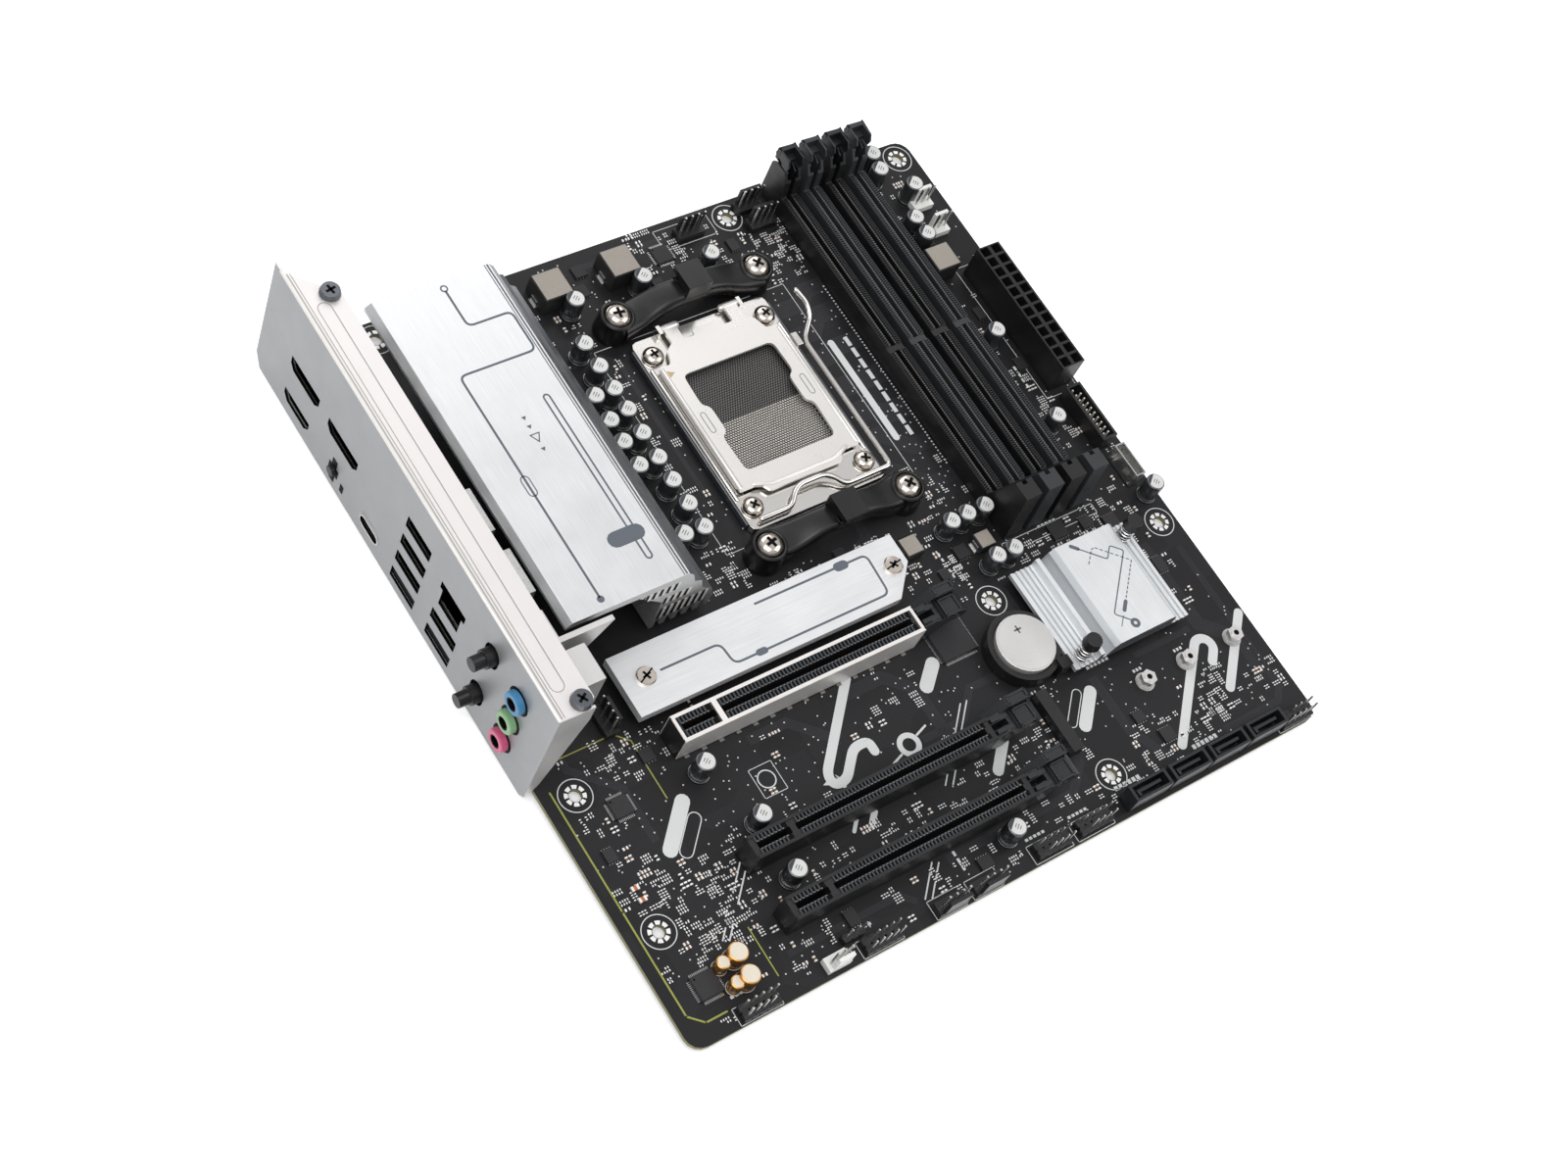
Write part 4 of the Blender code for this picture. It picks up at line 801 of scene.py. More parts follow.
def pin_block(shape, x, y, columns, rows, missing=None):
    """A pin header with its first pin at x, y, columns along X and rows along Y, and one pin left out."""
    half = PIN_PITCH / 2
    notch = [(-half, -0.9), (-0.9, -half), (0.9, -half), (half, -0.9)]
    outline = notch + [(-u, -v) for u, v in notch]
    for i in range(columns):
        for j in range(rows):
            px, py = x + i * PIN_PITCH, y + j * PIN_PITCH
            shape.prism([(px + u, py + v) for u, v in outline], 0.1, 2.5, 0)
            if (i, j) != missing:
                shape.boxes([(px, py)], (PIN_HALF, PIN_HALF), 2.5, 8.2, 1)
                shape.tapered((px, py), PIN_HALF, 8.2, 8.6, 0.14, 1)
    reach_x, reach_y = (columns - 1) * half, (rows - 1) * half
    take(x + reach_x, y + reach_y, reach_x + 2, reach_y + 2)


def fan_header(shape, x, y, wall, count=4, along="X"):
    """A fan header centred at x, y: a row of pins on a base, with its locking wall offset to one side."""
    reach = (count - 1) / 2 * PIN_PITCH + 1.4

    def block(across, half_long, half_across, low, high, look=0, place=0.0):
        """A box at a place along the row and a distance across it."""
        if along == "X":
            shape.boxes([(x + place, y + across)], (half_long, half_across), low, high, look)
        else:
            shape.boxes([(x + across, y + place)], (half_across, half_long), low, high, look)

    for i in range(count):
        block(0.0, PIN_HALF, PIN_HALF, 2.4, 10.6, 1, place=(i - (count - 1) / 2) * PIN_PITCH)
    block(0.0, reach, 2.2, 0.1, 2.6)
    block(wall, reach - 1.2, 0.6, 2.6, 8.8)
    take(x, y, *((reach, 3.4) if along == "X" else (3.4, reach)))


def headers():
    """Pin headers and fan headers, and three pale ones for lights."""
    shape = Shape()
    for x, y, columns, rows, missing in (
        (18.6, 1.9, 5, 2, (4, 0)), (61.8, 1.9, 5, 2, (0, 1)), (57.2, 7.9, 3, 1, None),
        (127.2, 2.6, 5, 2, (0, 0)), (144.0, 2.6, 5, 2, (0, 0)), (229.6, 1.9, 5, 2, (0, 1)),
    ):
        pin_block(shape, x, y, columns, rows, missing)
    for x, y, wall in ((92.0, 2.6, -1.7), (106.0, 2.6, -1.7), (148.5, 236.7, 1.7), (173.7, 238.8, 1.7),
                       (174.3, 231.4, 1.7)):
        fan_header(shape, x, y, wall)
    fan_header(shape, 29.2, 96.4, 1.7, along="Y")
    shape.done("pin_headers", ["black", "tin"], bevel=0.08)
    shape = Shape()
    for x, y, wall in ((51.0, 3.6, -1.7), (233.1, 217.6, 1.7), (232.5, 206.5, 1.7)):
        fan_header(shape, x, y, wall, count=3)
    shape.done("light_headers", ["white", "tin"], bevel=0.1)


# ---------------------------------------------------------------- printed and etched board detail


def print_art():
    """The pale decorative lines: 45 degree bars, hooks, stadiums and a plain ring."""
    shape = Shape()
    bent_bar = rounded([(105.5, 77.5), (82.0, 53.5), (82.0, 49.4), (86.7, 49.4), (94.4, 57.2), (99.9, 57.2),
                        (99.9, 53.5)], 2.4)
    shape.stroke(bent_bar, 3.1, 0.0)
    for start, end, width in BARS:
        shape.stroke([start, end], width, 0.0)
    for (start, end, width), line in zip(OUTLINED_BARS, (0.3, 0.32)):
        shape.outline_stroke([start, end], width, line, 0.0)
    shape.ring((111.1, 50.5), 2.2, 4.0, 0.0, PRINT_RISE)
    shape.stroke([(103.0, 47.4), (107.0, 48.8)], 0.7, 0.0)
    shape.stroke([(115.2, 52.2), (119.4, 53.6)], 0.7, 0.0)
    for path in (
        [(134.2, 54.9), (126.6, 47.3)], [(136.7, 54.9), (129.1, 47.3)], [(117.9, 38.7), (113.7, 34.5)],
        [(120.4, 38.0), (116.1, 33.7)], [(95.3, 16.0), (86.7, 7.4)], [(97.2, 15.0), (88.8, 6.6)],
        [(42.8, 41.8), (35.8, 34.8)], [(42.6, 38.7), (35.2, 31.3)], [(28.0, 26.8), (25.2, 24.0)],
        [(30.7, 26.8), (27.0, 23.1)],
    ):
        shape.stroke(path, 0.45, 0.0)
    hook = [(193.3, 11.9), *arc((222.3, 36.2), 3.3, 135.0, -45.0, 12), (221.9, 31.0)]
    shape.stroke(hook, 3.2, 0.0)
    shape.stroke([(88.6, 37.2), (84.8, 33.4)], 2.0, 0.0)
    shape.stroke([(82.2, 37.6), (79.2, 34.6)], 1.2, 0.0)
    shape.ring((64.4, 60.2), 2.6, 3.0, 0.0, PRINT_RISE)
    shape.done("printed_art", ["silk"])


def hole_rings():
    """A printed ring and eight soldered pads round each mounting hole."""
    shape = Shape()
    for x, y in MOUNTING_HOLES:
        shape.ring((x, y), 5.0, 5.3, 0.0, PRINT_RISE, 0, 48)
        for low in (0.0, UNDERSIDE - 0.06):
            for k in range(8):
                start = 45.0 * k + 7.0
                shape.ring_part((x, y), 2.15, 3.35, (start, start + 31.0), low, low + 0.06, 1)
    shape.done("mounting_rings", ["silk", "solder"])


def printed_frame(shape, low, high):
    """A thin printed rectangle."""
    half = 0.11  # half the line's width
    for y in (low[1], high[1]):
        shape.box((low[0] - half, y - half, 0.0), (high[0] + half, y + half, PRINT_RISE))
    for x in (low[0], high[0]):
        shape.box((x - half, low[1] - half, 0.0), (x + half, high[1] + half, PRINT_RISE))


def part_marks():
    """Thin printed frames round sockets and headers, and plain dashes beside them."""
    shape = Shape()
    for low, high in (
        ((94.4, 128.6), (168.4, 208.0)), ((180.6, 92.0), (219.0, 95.6)), ((229.6, 134.8), (243.0, 190.8)),
        ((124.8, 0.6), (139.6, 6.8)), ((141.6, 0.6), (156.4, 6.8)), ((16.4, 0.4), (31.0, 5.8)),
        ((59.6, 0.4), (74.2, 5.8)), ((227.2, 0.4), (242.4, 5.8)), ((86.4, 0.2), (97.6, 6.4)),
        ((100.4, 0.2), (111.6, 6.4)), ((137.6, 233.6), (158.6, 241.6)), ((60.6, 55.0), (68.7, 64.8)),
    ):
        printed_frame(shape, low, high)
    shape.stroke([(170.8, 143.0), (170.8, 182.0)], 2.4, 0.0)
    for x, start, count, long, wide in (
        (176.6, 141.8, 9, 3.7, 1.5), (226.0, 141.0, 4, 1.6, 0.9),
        (103.2, 9.4, 3, 1.6, 0.9), (158.6, 92.0, 5, 1.2, 0.8), (56.6, 84.8, 4, 1.2, 0.8),
    ):
        for i in range(count):
            y = start + i * (long + 0.9)
            shape.box((x - wide / 2, y, 0.0), (x + wide / 2, y + long, PRINT_RISE))
    for y, start, count, long, wide in (
        (9.6, 163.0, 6, 1.3, 1.5), (9.6, 196.0, 6, 1.3, 1.5), (8.8, 60.0, 5, 1.1, 0.9),
        (8.8, 18.0, 5, 1.1, 0.9), (39.6, 194.0, 3, 0.8, 1.0), (39.6, 211.6, 3, 0.8, 1.0),
        (47.2, 180.0, 6, 1.1, 1.0), (84.6, 100.0, 8, 1.1, 0.9), (8.6, 126.0, 5, 1.1, 0.9),
        (8.6, 143.0, 5, 1.1, 0.9), (214.2, 160.0, 6, 1.1, 0.9), (95.8, 196.0, 5, 1.1, 0.9),
    ):
        for i in range(count):
            x = start + i * (long + 0.5)
            shape.box((x, y - wide / 2, 0.0), (x + long, y + wide / 2, PRINT_RISE))
    for i in range(60):
        y = 128.0 + i * 1.25
        shape.box((181.0, y, 0.0), (181.5, y + 0.5, PRINT_RISE))
    shape.done("part_marks", ["silk"])


def underside():
    """Solder joints where pins come through the board, and a few small parts."""
    shape = Shape()
    face = UNDERSIDE

    def joint(x, y, radius, deep):
        tip = circle((x, y), radius * 0.35, 8)
        shape.prism(circle((x, y), radius, 8), face, face - deep, shrink=tip)

    for k in range(4):
        x = 185.3 + 9.4 * k
        for i in range(142):
            joint(x + (-1.9, -0.6, 0.7, 2.0)[i % 4], 109.0 + i * 0.87, 0.34, 0.45)
    for y in (81.56, 40.92, 20.6):
        for i in range(82):
            joint(45.0 + i * 1.04, y + (-1.8, 1.8)[i % 2], 0.36, 0.5)
    for i in range(12):
        for x in (233.8, 238.0):
            joint(x, 139.8 + i * 4.2, 0.95, 0.8)
    for y in (132.0, 141.0, 152.4, 162.0, 193.0, 206.0, 214.0, 228.0):
        for x in (3.0, 8.6, 14.0):
            joint(x, y, 0.8, 0.7)
    for x, y in CANS:
        joint(x - 1.2, y, 0.7, 0.6)
        joint(x + 1.2, y, 0.7, 0.6)
    for start in (18.6, 61.8, 127.2, 144.0, 229.6):
        for i in range(5):
            for j in range(2):
                joint(start + i * PIN_PITCH, 2.2 + j * PIN_PITCH, 0.6, 0.6)
    for low_x, low_y, high_x, high_y, count in (
        (112.0, 150.0, 150.0, 186.0, 180), (100.0, 210.0, 170.0, 236.0, 120), (90.0, 20.0, 160.0, 70.0, 90),
        (186.0, 50.0, 216.0, 80.0, 90), (20.0, 100.0, 90.0, 200.0, 90),
    ):
        for _ in range(count):
            x, y = rng.uniform(low_x, high_x), rng.uniform(low_y, high_y)
            shape.boxes([(x - 0.4, y), (x + 0.4, y)], (0.15, 0.3), face - 0.35, face)
            shape.boxes([(x, y)], (0.25, 0.27), face - 0.32, face, 1)
    shape.done("underside_solder", ["solder", "chip"])


# bundles of copper lines under the lacquer, as a middle path and the number of lines
BUNDLES = [
    ([(160.0, 199.0), (170.0, 199.0), (174.0, 203.0), (181.6, 203.0)], 14),
    ([(160.0, 188.0), (167.0, 188.0), (172.0, 193.0), (181.6, 193.0)], 16),
    ([(160.0, 178.0), (168.0, 178.0), (170.0, 180.0), (181.6, 180.0)], 16),
    ([(161.6, 166.0), (181.6, 166.0)], 18),
    ([(161.6, 156.0), (168.0, 156.0), (172.0, 152.0), (181.6, 152.0)], 18),
    ([(161.6, 146.0), (166.0, 146.0), (174.0, 138.0), (181.6, 138.0)], 14),
    ([(160.0, 136.0), (164.0, 132.0), (172.0, 124.0), (181.6, 124.0)], 12),
    ([(60.0, 86.8), (60.0, 88.6), (96.0, 88.6)], 3),
    ([(140.0, 128.0), (140.0, 116.0), (132.0, 112.2)], 8),
    ([(226.0, 76.0), (226.0, 44.0), (236.0, 34.0), (236.0, 20.0)], 12),
    ([(222.0, 44.0), (214.0, 44.0), (206.0, 44.0), (198.0, 44.0)], 5),
    ([(172.0, 82.0), (172.0, 70.0), (172.0, 64.0)], 2),
    ([(100.0, 73.0), (116.0, 73.0), (124.0, 65.0), (124.0, 47.0)], 10),
    ([(66.0, 73.0), (80.0, 73.0), (90.0, 63.0), (90.0, 60.0)], 8),
    ([(12.0, 92.0), (12.0, 88.0), (24.0, 76.0), (24.0, 58.0)], 6),
    ([(152.0, 58.0), (140.0, 58.0), (132.0, 50.0), (116.0, 50.0)], 6),
    ([(180.0, 44.0), (180.0, 24.0), (186.0, 12.0)], 8),
    ([(70.0, 206.0), (96.0, 206.0), (100.0, 202.0), (100.0, 150.0)], 4),
    ([(108.0, 238.0), (140.0, 238.0)], 5),
    ([(184.0, 238.0), (184.0, 96.0)], 2),
    ([(243.0 - 2.4, 130.0), (243.0 - 2.4, 96.0)], 3),
    ([(210.0, 10.0), (234.0, 10.0), (238.0, 14.0), (238.0, 70.0)], 6),
    ([(40.0, 12.0), (80.0, 12.0), (84.0, 8.0)], 5),
    ([(100.0, 14.6), (150.0, 14.6), (158.0, 22.0), (158.0, 52.0)], 7),
]


def traces():
    """Copper lines that show faintly through the lacquer, and the sound section's guard line."""
    shape = Shape()
    pitch, width, height = 0.42, 0.17, 0.025
    for path, count in BUNDLES:
        for i in range(count):
            line = offset_path(path, (i - (count - 1) / 2) * pitch)
            sides = offset_path(line, width / 2), offset_path(line, -width / 2)
            shape.band(*sides, 0.0, height, whole=False)
    shape.done("copper_lines", ["trace"])
    shape = Shape()
    audio = [(3.9, 84.0), (3.9, 44.0), (3.9, 10.0), (8.0, 6.0), (15.0, 6.0)]
    for start, end in zip(audio, audio[1:]):
        shape.stroke([start, end], 0.55, 0.0)
    shape.stroke([(4.4, 92.0), (30.0, 92.0), (34.0, 88.0), (34.0, 68.0)], 0.4, 0.0)
    shape.stroke([(34.0, 24.0), (34.0, 8.0)], 0.4, 0.0)
    shape.done("audio_guard_line", ["olive"])


def vias():
    """Plated through-holes: tiny pads with a middle painted dark as the hole's shade, in loose drifts."""
    shape = Shape()
    for area, count in (((96, 84, 226, 128), 260), ((4, 20, 60, 90), 150), ((60, 26, 150, 76), 150),
                        ((160, 8, 240, 60), 150), ((92, 118, 108, 232), 60), ((160, 120, 182, 230), 110),
                        ((218, 90, 242, 236), 90), ((92, 206, 182, 242), 110), ((20, 2, 160, 18), 60)):
        low_x, low_y, high_x, high_y = area
        for _ in range(count):
            x, y = rng.uniform(low_x, high_x), rng.uniform(low_y, high_y)
            if is_free(x - 0.3, y - 0.3, x + 0.3, y + 0.3):
                shape.prism(circle((x, y), 0.24, 8), 0.0, 0.03, 0)
                shape.prism(circle((x, y), 0.1, 6), 0.03, 0.04, 1)
    shape.done("vias", ["solder", "dark"])


SMD_AREAS = [
    # low x, low y, high x, high y, share of places filled
    (94.0, 113.0, 184.0, 122.0, 0.34), (142.0, 84.0, 162.0, 112.0, 0.42), (160.0, 84.0, 184.0, 100.0, 0.40),
    (184.0, 84.0, 226.0, 96.0, 0.34), (221.0, 84.0, 241.0, 134.0, 0.30), (223.0, 52.0, 234.0, 78.0, 0.26),
    (175.0, 8.0, 200.0, 26.0, 0.34), (204.0, 15.5, 224.0, 31.0, 0.86), (228.0, 12.0, 240.0, 24.0, 0.46),
    (200.0, 9.0, 214.0, 16.0, 0.3), (150.0, 22.0, 164.0, 58.0, 0.3), (62.0, 46.0, 80.0, 74.0, 0.14),
    (84.0, 60.0, 128.0, 75.0, 0.14), (60.0, 26.0, 128.0, 35.0, 0.28), (100.0, 42.0, 128.0, 48.0, 0.3),
    (126.0, 22.0, 150.0, 38.0, 0.36), (120.0, 6.0, 180.0, 16.0, 0.32),
    (4.0, 20.0, 32.0, 50.0, 0.40), (28.0, 20.0, 48.0, 52.0, 0.46), (6.0, 50.0, 24.0, 74.0, 0.30),
    (38.0, 4.0, 60.0, 16.0, 0.36), (74.0, 4.0, 128.0, 16.0, 0.30), (8.0, 3.0, 32.0, 26.0, 0.24),
    (94.0, 210.0, 112.0, 238.0, 0.34), (122.0, 216.0, 146.0, 242.0, 0.34), (150.0, 214.0, 182.0, 242.0, 0.30),
    (78.0, 206.0, 96.0, 228.0, 0.30), (92.0, 120.0, 102.0, 206.0, 0.16), (79.0, 118.0, 94.0, 134.0, 0.30),
    (218.0, 134.0, 231.0, 236.0, 0.18), (160.0, 206.0, 182.0, 230.0, 0.18),
    (160.0, 120.0, 182.0, 132.0, 0.20),
    (6.0, 84.0, 40.0, 96.0, 0.30), (22.0, 76.0, 42.0, 90.0, 0.30), (130.0, 84.0, 144.0, 90.0, 0.30),
]


def smd(shape, x, y, long, short, upright, body_look):
    """A chip resistor or capacitor: a small body between two soldered ends."""
    cap, height = long * 0.28, short * 0.55

    def block(place, half_long, half_short, low, high, look):
        """A box at a place along the part's length."""
        centre = (x, y + place) if upright else (x + place, y)
        half = (half_short, half_long) if upright else (half_long, half_short)
        shape.boxes([centre], half, low, high, look)

    block(0.0, long / 2 - cap, short * 0.46, 0.03, height, body_look)
    for side in (-1, 1):
        block(side * (long - cap) / 2, cap / 2, short / 2, 0.02, height + 0.03, 0)


def cluster(shape, low_x, low_y, wide, deep):
    """A block of like parts in even rows, as a placing machine leaves them, where there's room."""
    upright = rng.random() < 0.5
    small, large = (1.15, 0.6), (1.7, 0.9)
    long, short = rng.choice((small, small, small, large))
    half_x, half_y = (short / 2, long / 2) if upright else (long / 2, short / 2)
    step_x, step_y = (short + 0.4, long + 0.5) if upright else (long + 0.5, short + 0.4)
    body = 2 if (long, short) == large and rng.random() < 0.6 else 1
    x = low_x
    while x < low_x + wide - step_x / 2:
        y = low_y
        while y < low_y + deep - step_y / 2:
            if rng.random() < 0.86 and is_free(x - half_x, y - half_y, x + half_x, y + half_y):
                smd(shape, x, y, long, short, upright, body)
            y += step_y
        x += step_x


def small_parts():
    """Surface-mounted parts in clusters, clear of everything larger."""
    shape = Shape()
    for low_x, low_y, high_x, high_y, share in SMD_AREAS:
        cell_x, cell_y = 3.6, 3.2
        y = low_y
        while y < high_y:
            x = low_x + rng.uniform(0.0, 1.2)
            while x < high_x:
                if rng.random() < share * 1.55:
                    wide = cell_x * rng.uniform(0.45, 1.0)
                    deep = cell_y * rng.uniform(0.45, 1.0)
                    cluster(shape, x + rng.uniform(0.0, 0.5), y + rng.uniform(0.0, 0.5), wide, deep)
                x += cell_x
            y += cell_y
    for x, y in ((10.7, 48.4), (10.9, 44.6)):
        smd(shape, x, y, 2.4, 1.5, False, 3)
    shape.done("small_parts", ["solder", "chip", "brown", "orange"])


# ---------------------------------------------------------------- slots, sockets and connectors


def comb(shape, start, end, centre, inner, outer, top, looks):
    """Rows of small teeth along X on both sides of a groove, with a metal contact between each two.

    looks are those of the contacts, of the teeth, and of the dark strip of painted shade under them.
    """
    pin, tooth, window = looks
    for side in (-1, 1):
        near, far, pin_far = (centre + side * reach for reach in (inner, outer, inner + 0.35))
        shape.box((start, near, top - 0.02), (end, far, top + 0.03), window)
        for i in range(int((end - start) / CARD_PITCH)):
            place = start + (i + 0.5) * CARD_PITCH
            tooth_start, tooth_end = place - CARD_PITCH * 0.5, place - CARD_PITCH * 0.08
            shape.box((tooth_start, near, top - 0.02), (tooth_end, far, top + 0.4), tooth)
            shape.box((place, near, top - 0.02), (place + CARD_PITCH * 0.42, pin_far, top + 0.2), pin)


def ladder(shape, near, far, start, end, top, look):
    """A rim of rungs between two rails, with windows through it onto the painted shade beneath."""
    rail = 0.16
    near, far = sorted((near, far))
    shape.box((near, start, top - 0.3), (near + rail, end, top), look)
    shape.box((far - rail, start, top - 0.3), (far, end, top), look)
    count = int((end - start) / RUNG_PITCH)
    for i in range(count + 1):
        y = start + i * (end - start) / count
        shape.box((near, y - 0.17, top - 0.32), (far, y + 0.17, top - 0.02), look)


def memory_slots():
    """Windowed rims and a row of contacts along both sides of each memory slot's groove."""
    key = 168.8
    for k in range(1, 5):
        name = f"dimm_slot_{k}"
        x = middle(name).x
        shape = Shape()
        for start, end in ((111.2, key - 1.4), (key + 1.4, 233.0)):
            for side in (-1, 1):
                near, far = x + side * 1.75, x + side * 3.2
                ladder(shape, near, far, start, end, 7.95, 0)
                # painted shade: a near-black strip under the rim, seen through its windows
                shape.box((near, start, 7.46), (far, end, 7.52), 2)
                # contacts in the shaded contact colour, painted shade
                for i in range(int((end - start) / RUNG_PITCH)):
                    y = start + 0.5 + i * RUNG_PITCH
                    shape.box((x + side * 0.95, y - 0.16, 7.4), (x + side * 1.4, y + 0.16, 7.62), 1)
        rim_look = "rim_dark" if k % 2 else "rim"
        shape.done(f"slot_contacts_{k}", [rim_look, "contact_dark", "dark"])


def memory_latches():
    """Channelled levers with a cupped head, in place of the plain latch nodes."""
    for k in range(1, 5):
        name = f"dimm_latch_{k}"
        low, high = span(name)
        x = middle(name).x
        outer, inner = high.x - x, 1.85
        back, top, neck = high.y, high.z, 18.0
        foot = [
            (back - 6.8, low.z + 1.8), (back - 3.6, low.z), (back - 3.6, neck + 0.4),
            (back - 7.2, neck - 1.6),
        ]
        cheek = [
            (back - 7.4, neck), (back - 1.4, neck), (back, neck + 2.0), (back - 0.6, top),
            (back - 6.8, top), (back - 7.9, neck + 2.2),
        ]
        shape = Shape()
        shape.box((x - inner, back - 3.8, low.z), (x + inner, back - 1.8, neck + 0.4))
        shape.box((x - outer, back - 2.2, neck), (x + outer, back - 0.6, top))
        shape.box((x - outer, back - 4.6, neck), (x + outer, back - 2.0, neck + 1.6))
        for side in (-1, 1):
            shape.prism(foot, *sorted((x + side * inner, x + side * (inner - 0.6))), axis="X")
            shape.prism(cheek, *sorted((x + side * outer, x + side * (outer - 0.75))), axis="X")
        look = "slate" if k % 2 else "grey"
        piece = shape.done(f"cupped_latch_{k}", [look], f"moving_{name}", bevel=0.16)
        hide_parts(name)


def card_latch_detail():
    """Raised rims on each card latch's thumb pad and paddle, and its two claws."""
    wall = 0.7
    for k in range(1, 4):
        name = f"pcie_latch_{k}"
        low, high = span(name)
        x, y = low.x, low.y + 3.6
        shape = Shape()
        for (x0, y0), (x1, y1), level in (
            ((x + 8.7, y - 3.6), (x + 15.0, y + 2.9), 11.7),
            ((x + 7.6, y + 3.1), (x + 15.2, y + 6.4), high.z + 0.5),
        ):
            for edge in (y0, y1 - wall):
                shape.box((x0, edge, level - 1.6), (x1, edge + wall, level))
            for edge in (x0, x1 - wall):
                shape.box((edge, y0, level - 1.6), (edge + wall, y1, level))
        for side in (-1, 1):
            near, far = y + side * 1.3, y + side * 2.7
            shape.box((x, near, 9.0), (x + 3.4, far, 12.3))
            shape.box((x + 3.4, near, 9.0), (x + 6.6, far, 11.6))
        shape.done(f"card_latch_rims_{k}", ["smoke"], f"moving_{name}", bevel=0.15)


def card_slots():
    """Toothed rims on each expansion slot's groove, and the first slot's steel shroud."""
    top = 11.38
    for k in range(1, 4):
        name = f"pcie_slot_{k}"
        low, high = span(name)
        y = middle(name).y
        shrouded = k == 1
        rim, rim_look = (3.4, 2) if shrouded else (2.75, 0)
        outer = high.y - y
        shape = Shape()
        for start, end in ((44.4, 55.8), (58.8, 129.6)):
            # painted shade: contacts in the shaded contact colour, over a near-black strip
            comb(shape, start, end, y, 1.05, rim, top + 0.02, (1, 3, 4))
        for side in (-1, 1):
            near, far = y + side * rim, y + side * (outer - 0.05)
            shape.box((low.x + 0.2, near, top), (high.x - 0.2, far, top + 0.42), rim_look)
        if shrouded:
            for start, end in ((low.x + 0.1, low.x + 1.1), (high.x - 1.1, high.x - 0.1), (56.4, 58.2)):
                shape.box((start, y - 3.5, top), (end, y + 3.5, top + 0.4), 2)
            for side in (-1, 1):
                wall = y + side * (outer + 0.12)
                shape.box((low.x, wall, 0.6), (high.x, wall - side * 0.3, 11.7), 2)
                for i in range(14):
                    tab = low.x + 3.0 + i * 6.2
                    shape.box((tab, wall, 0.0), (tab + 1.6, wall + side * 0.9, 0.25), 1)
        looks = ["black", "contact_dark", "panel_top", "rim", "dark"]
        shape.done(f"card_slot_contacts_{k}", looks)


def socket_contacts():
    """The field of spring contacts on the socket's floor, in two halves painted as lit and as shaded."""
    low, high = span("cpu_socket")
    floor = 2.4
    pitch_x, pitch_y = 0.94, 0.82
    y0, y1 = low.y + 4.2, high.y - 4.2
    halfway = (y0 + y1) / 2 + 0.4
    shape = Shape()
    row = 0
    y = y0
    while y < y1:
        # painted light and shade: rows at higher Y in the shaded contact colour, the rest in the lit one
        look, turn, rise = (1, 38.0, 0.22) if y > halfway else (0, -38.0, 0.3)
        x = low.x + 2.6 + (pitch_x / 2 if row % 2 else 0.0)
        while x < high.x - 2.6:
            shape.turned_box((x, y), (0.62, 0.3), floor - 0.01, floor + rise, turn, look)
            x += pitch_x
        y += pitch_y
        row += 1
    shape.done("socket_contacts", ["contact_bright", "contact_dark"])


def power_pins():
    """Pins standing inside the main power connector's cells."""
    low = span("atx_power")[0]
    centre_y = middle("atx_power").y
    shape = Shape()
    for i in range(12):
        y = centre_y + (i - 5.5) * 4.2
        shape.boxes([(low.x + 2.6, y), (low.x + 6.8, y)], (0.5, 0.5), 2.0, 8.4)
    shape.done("power_pins", ["gold"])


def usb_header_pins():
    """Two rows of pins in the USB 3 header, with one left out."""
    x, start = middle("usb3_header").x, span("usb3_header")[0].y + 2.4
    shape = Shape()
    for i in range(10):
        y = start + i * 2.0
        row = [(x - 1.0, y), (x + 1.0, y)] if i < 9 else [(x - 1.0, y)]
        shape.boxes(row, (0.25, 0.25), 1.6, 6.2)
    shape.done("usb3_header_pins", ["contact_bright"])


# ---------------------------------------------------------------- line art on the heatsinks


def heatsink_end():
    """The slots and fins in the power heatsink's cut end, and the grooves along its top, in painted shade and
    painted highlight:
    near-black slots between fins painted pale as lit, and dark groove lines beside a pale highlighted one.
    """
    low, high = span("vrm_heatsink")
    face, top = low.y, high.z
    shape = Shape()
    rows = ((48.6, 24.6, 28.6, 5), (57.0, 17.4, 21.4, 4), (57.6, 8.2, 14.6, 7))
    for start, bottom, slot_top, count in rows:
        for i in range(count):
            x = start + i * 2.5
            shape.box((x, face - 0.04, bottom), (x + 1.0, face, slot_top), 0)
            shape.box((x + 1.0, face - 0.05, bottom), (x + 2.0, face, slot_top), 1)
    shape.prism([(45.2, 24.6), (48.2, 24.6), (48.2, 28.6)], face - 0.04, face, 0, "Y")
    for x, width, look in ((60.6, 0.3, 2), (61.5, 0.55, 2), (62.1, 0.2, 1)):
        shape.box((x - width / 2, face + 0.2, top), (x + width / 2, face + 115.8, top + PRINT_RISE), look)
    shape.done("power_heatsink_end", ["dark", "panel_top", "ink"])


def power_sink_art():
    """Line art on the power heatsink: a bent line, rings, stadiums and small triangles."""
    top = span("vrm_heatsink")[1].z
    shape = Shape()
    path = [(45.0, 227.4), (45.0, 214.2), (59.8, 214.2), (59.8, 199.6), (33.7, 199.6), (33.7, 120.2)]
    shape.stroke(rounded(path, 2.2), 0.72, top)
    shape.ring((45.0, 228.6), 0.75, 1.25, top, top + PRINT_RISE)
    shape.lathe((33.7, 119.4, top), [(1.15, 0.0), (1.15, PRINT_RISE)])
    shape.outline_stroke([(33.7, 161.7), (33.7, 157.3)], 3.0, 0.34, top)
    shape.outline_stroke([(54.2, 183.8), (54.2, 126.0)], 2.5, 0.56, top)
    shape.stroke([(47.9, 134.2), (55.0, 134.2)], 5.2, top, rise=PRINT_RISE * 1.6)
    for y in (180.0, 176.8, 168.7):
        shape.prism([(43.4, y + 0.6), (44.2, y - 0.7), (45.0, y + 0.6)], top, top + PRINT_RISE)
    loop = [(42.8, 174.2), (44.3, 171.4), (45.8, 174.2)]
    for a, b in zip(loop, loop[1:] + loop[:1]):
        shape.stroke([a, b], 0.35, top)
    shape.done("power_heatsink_art", ["ink"])


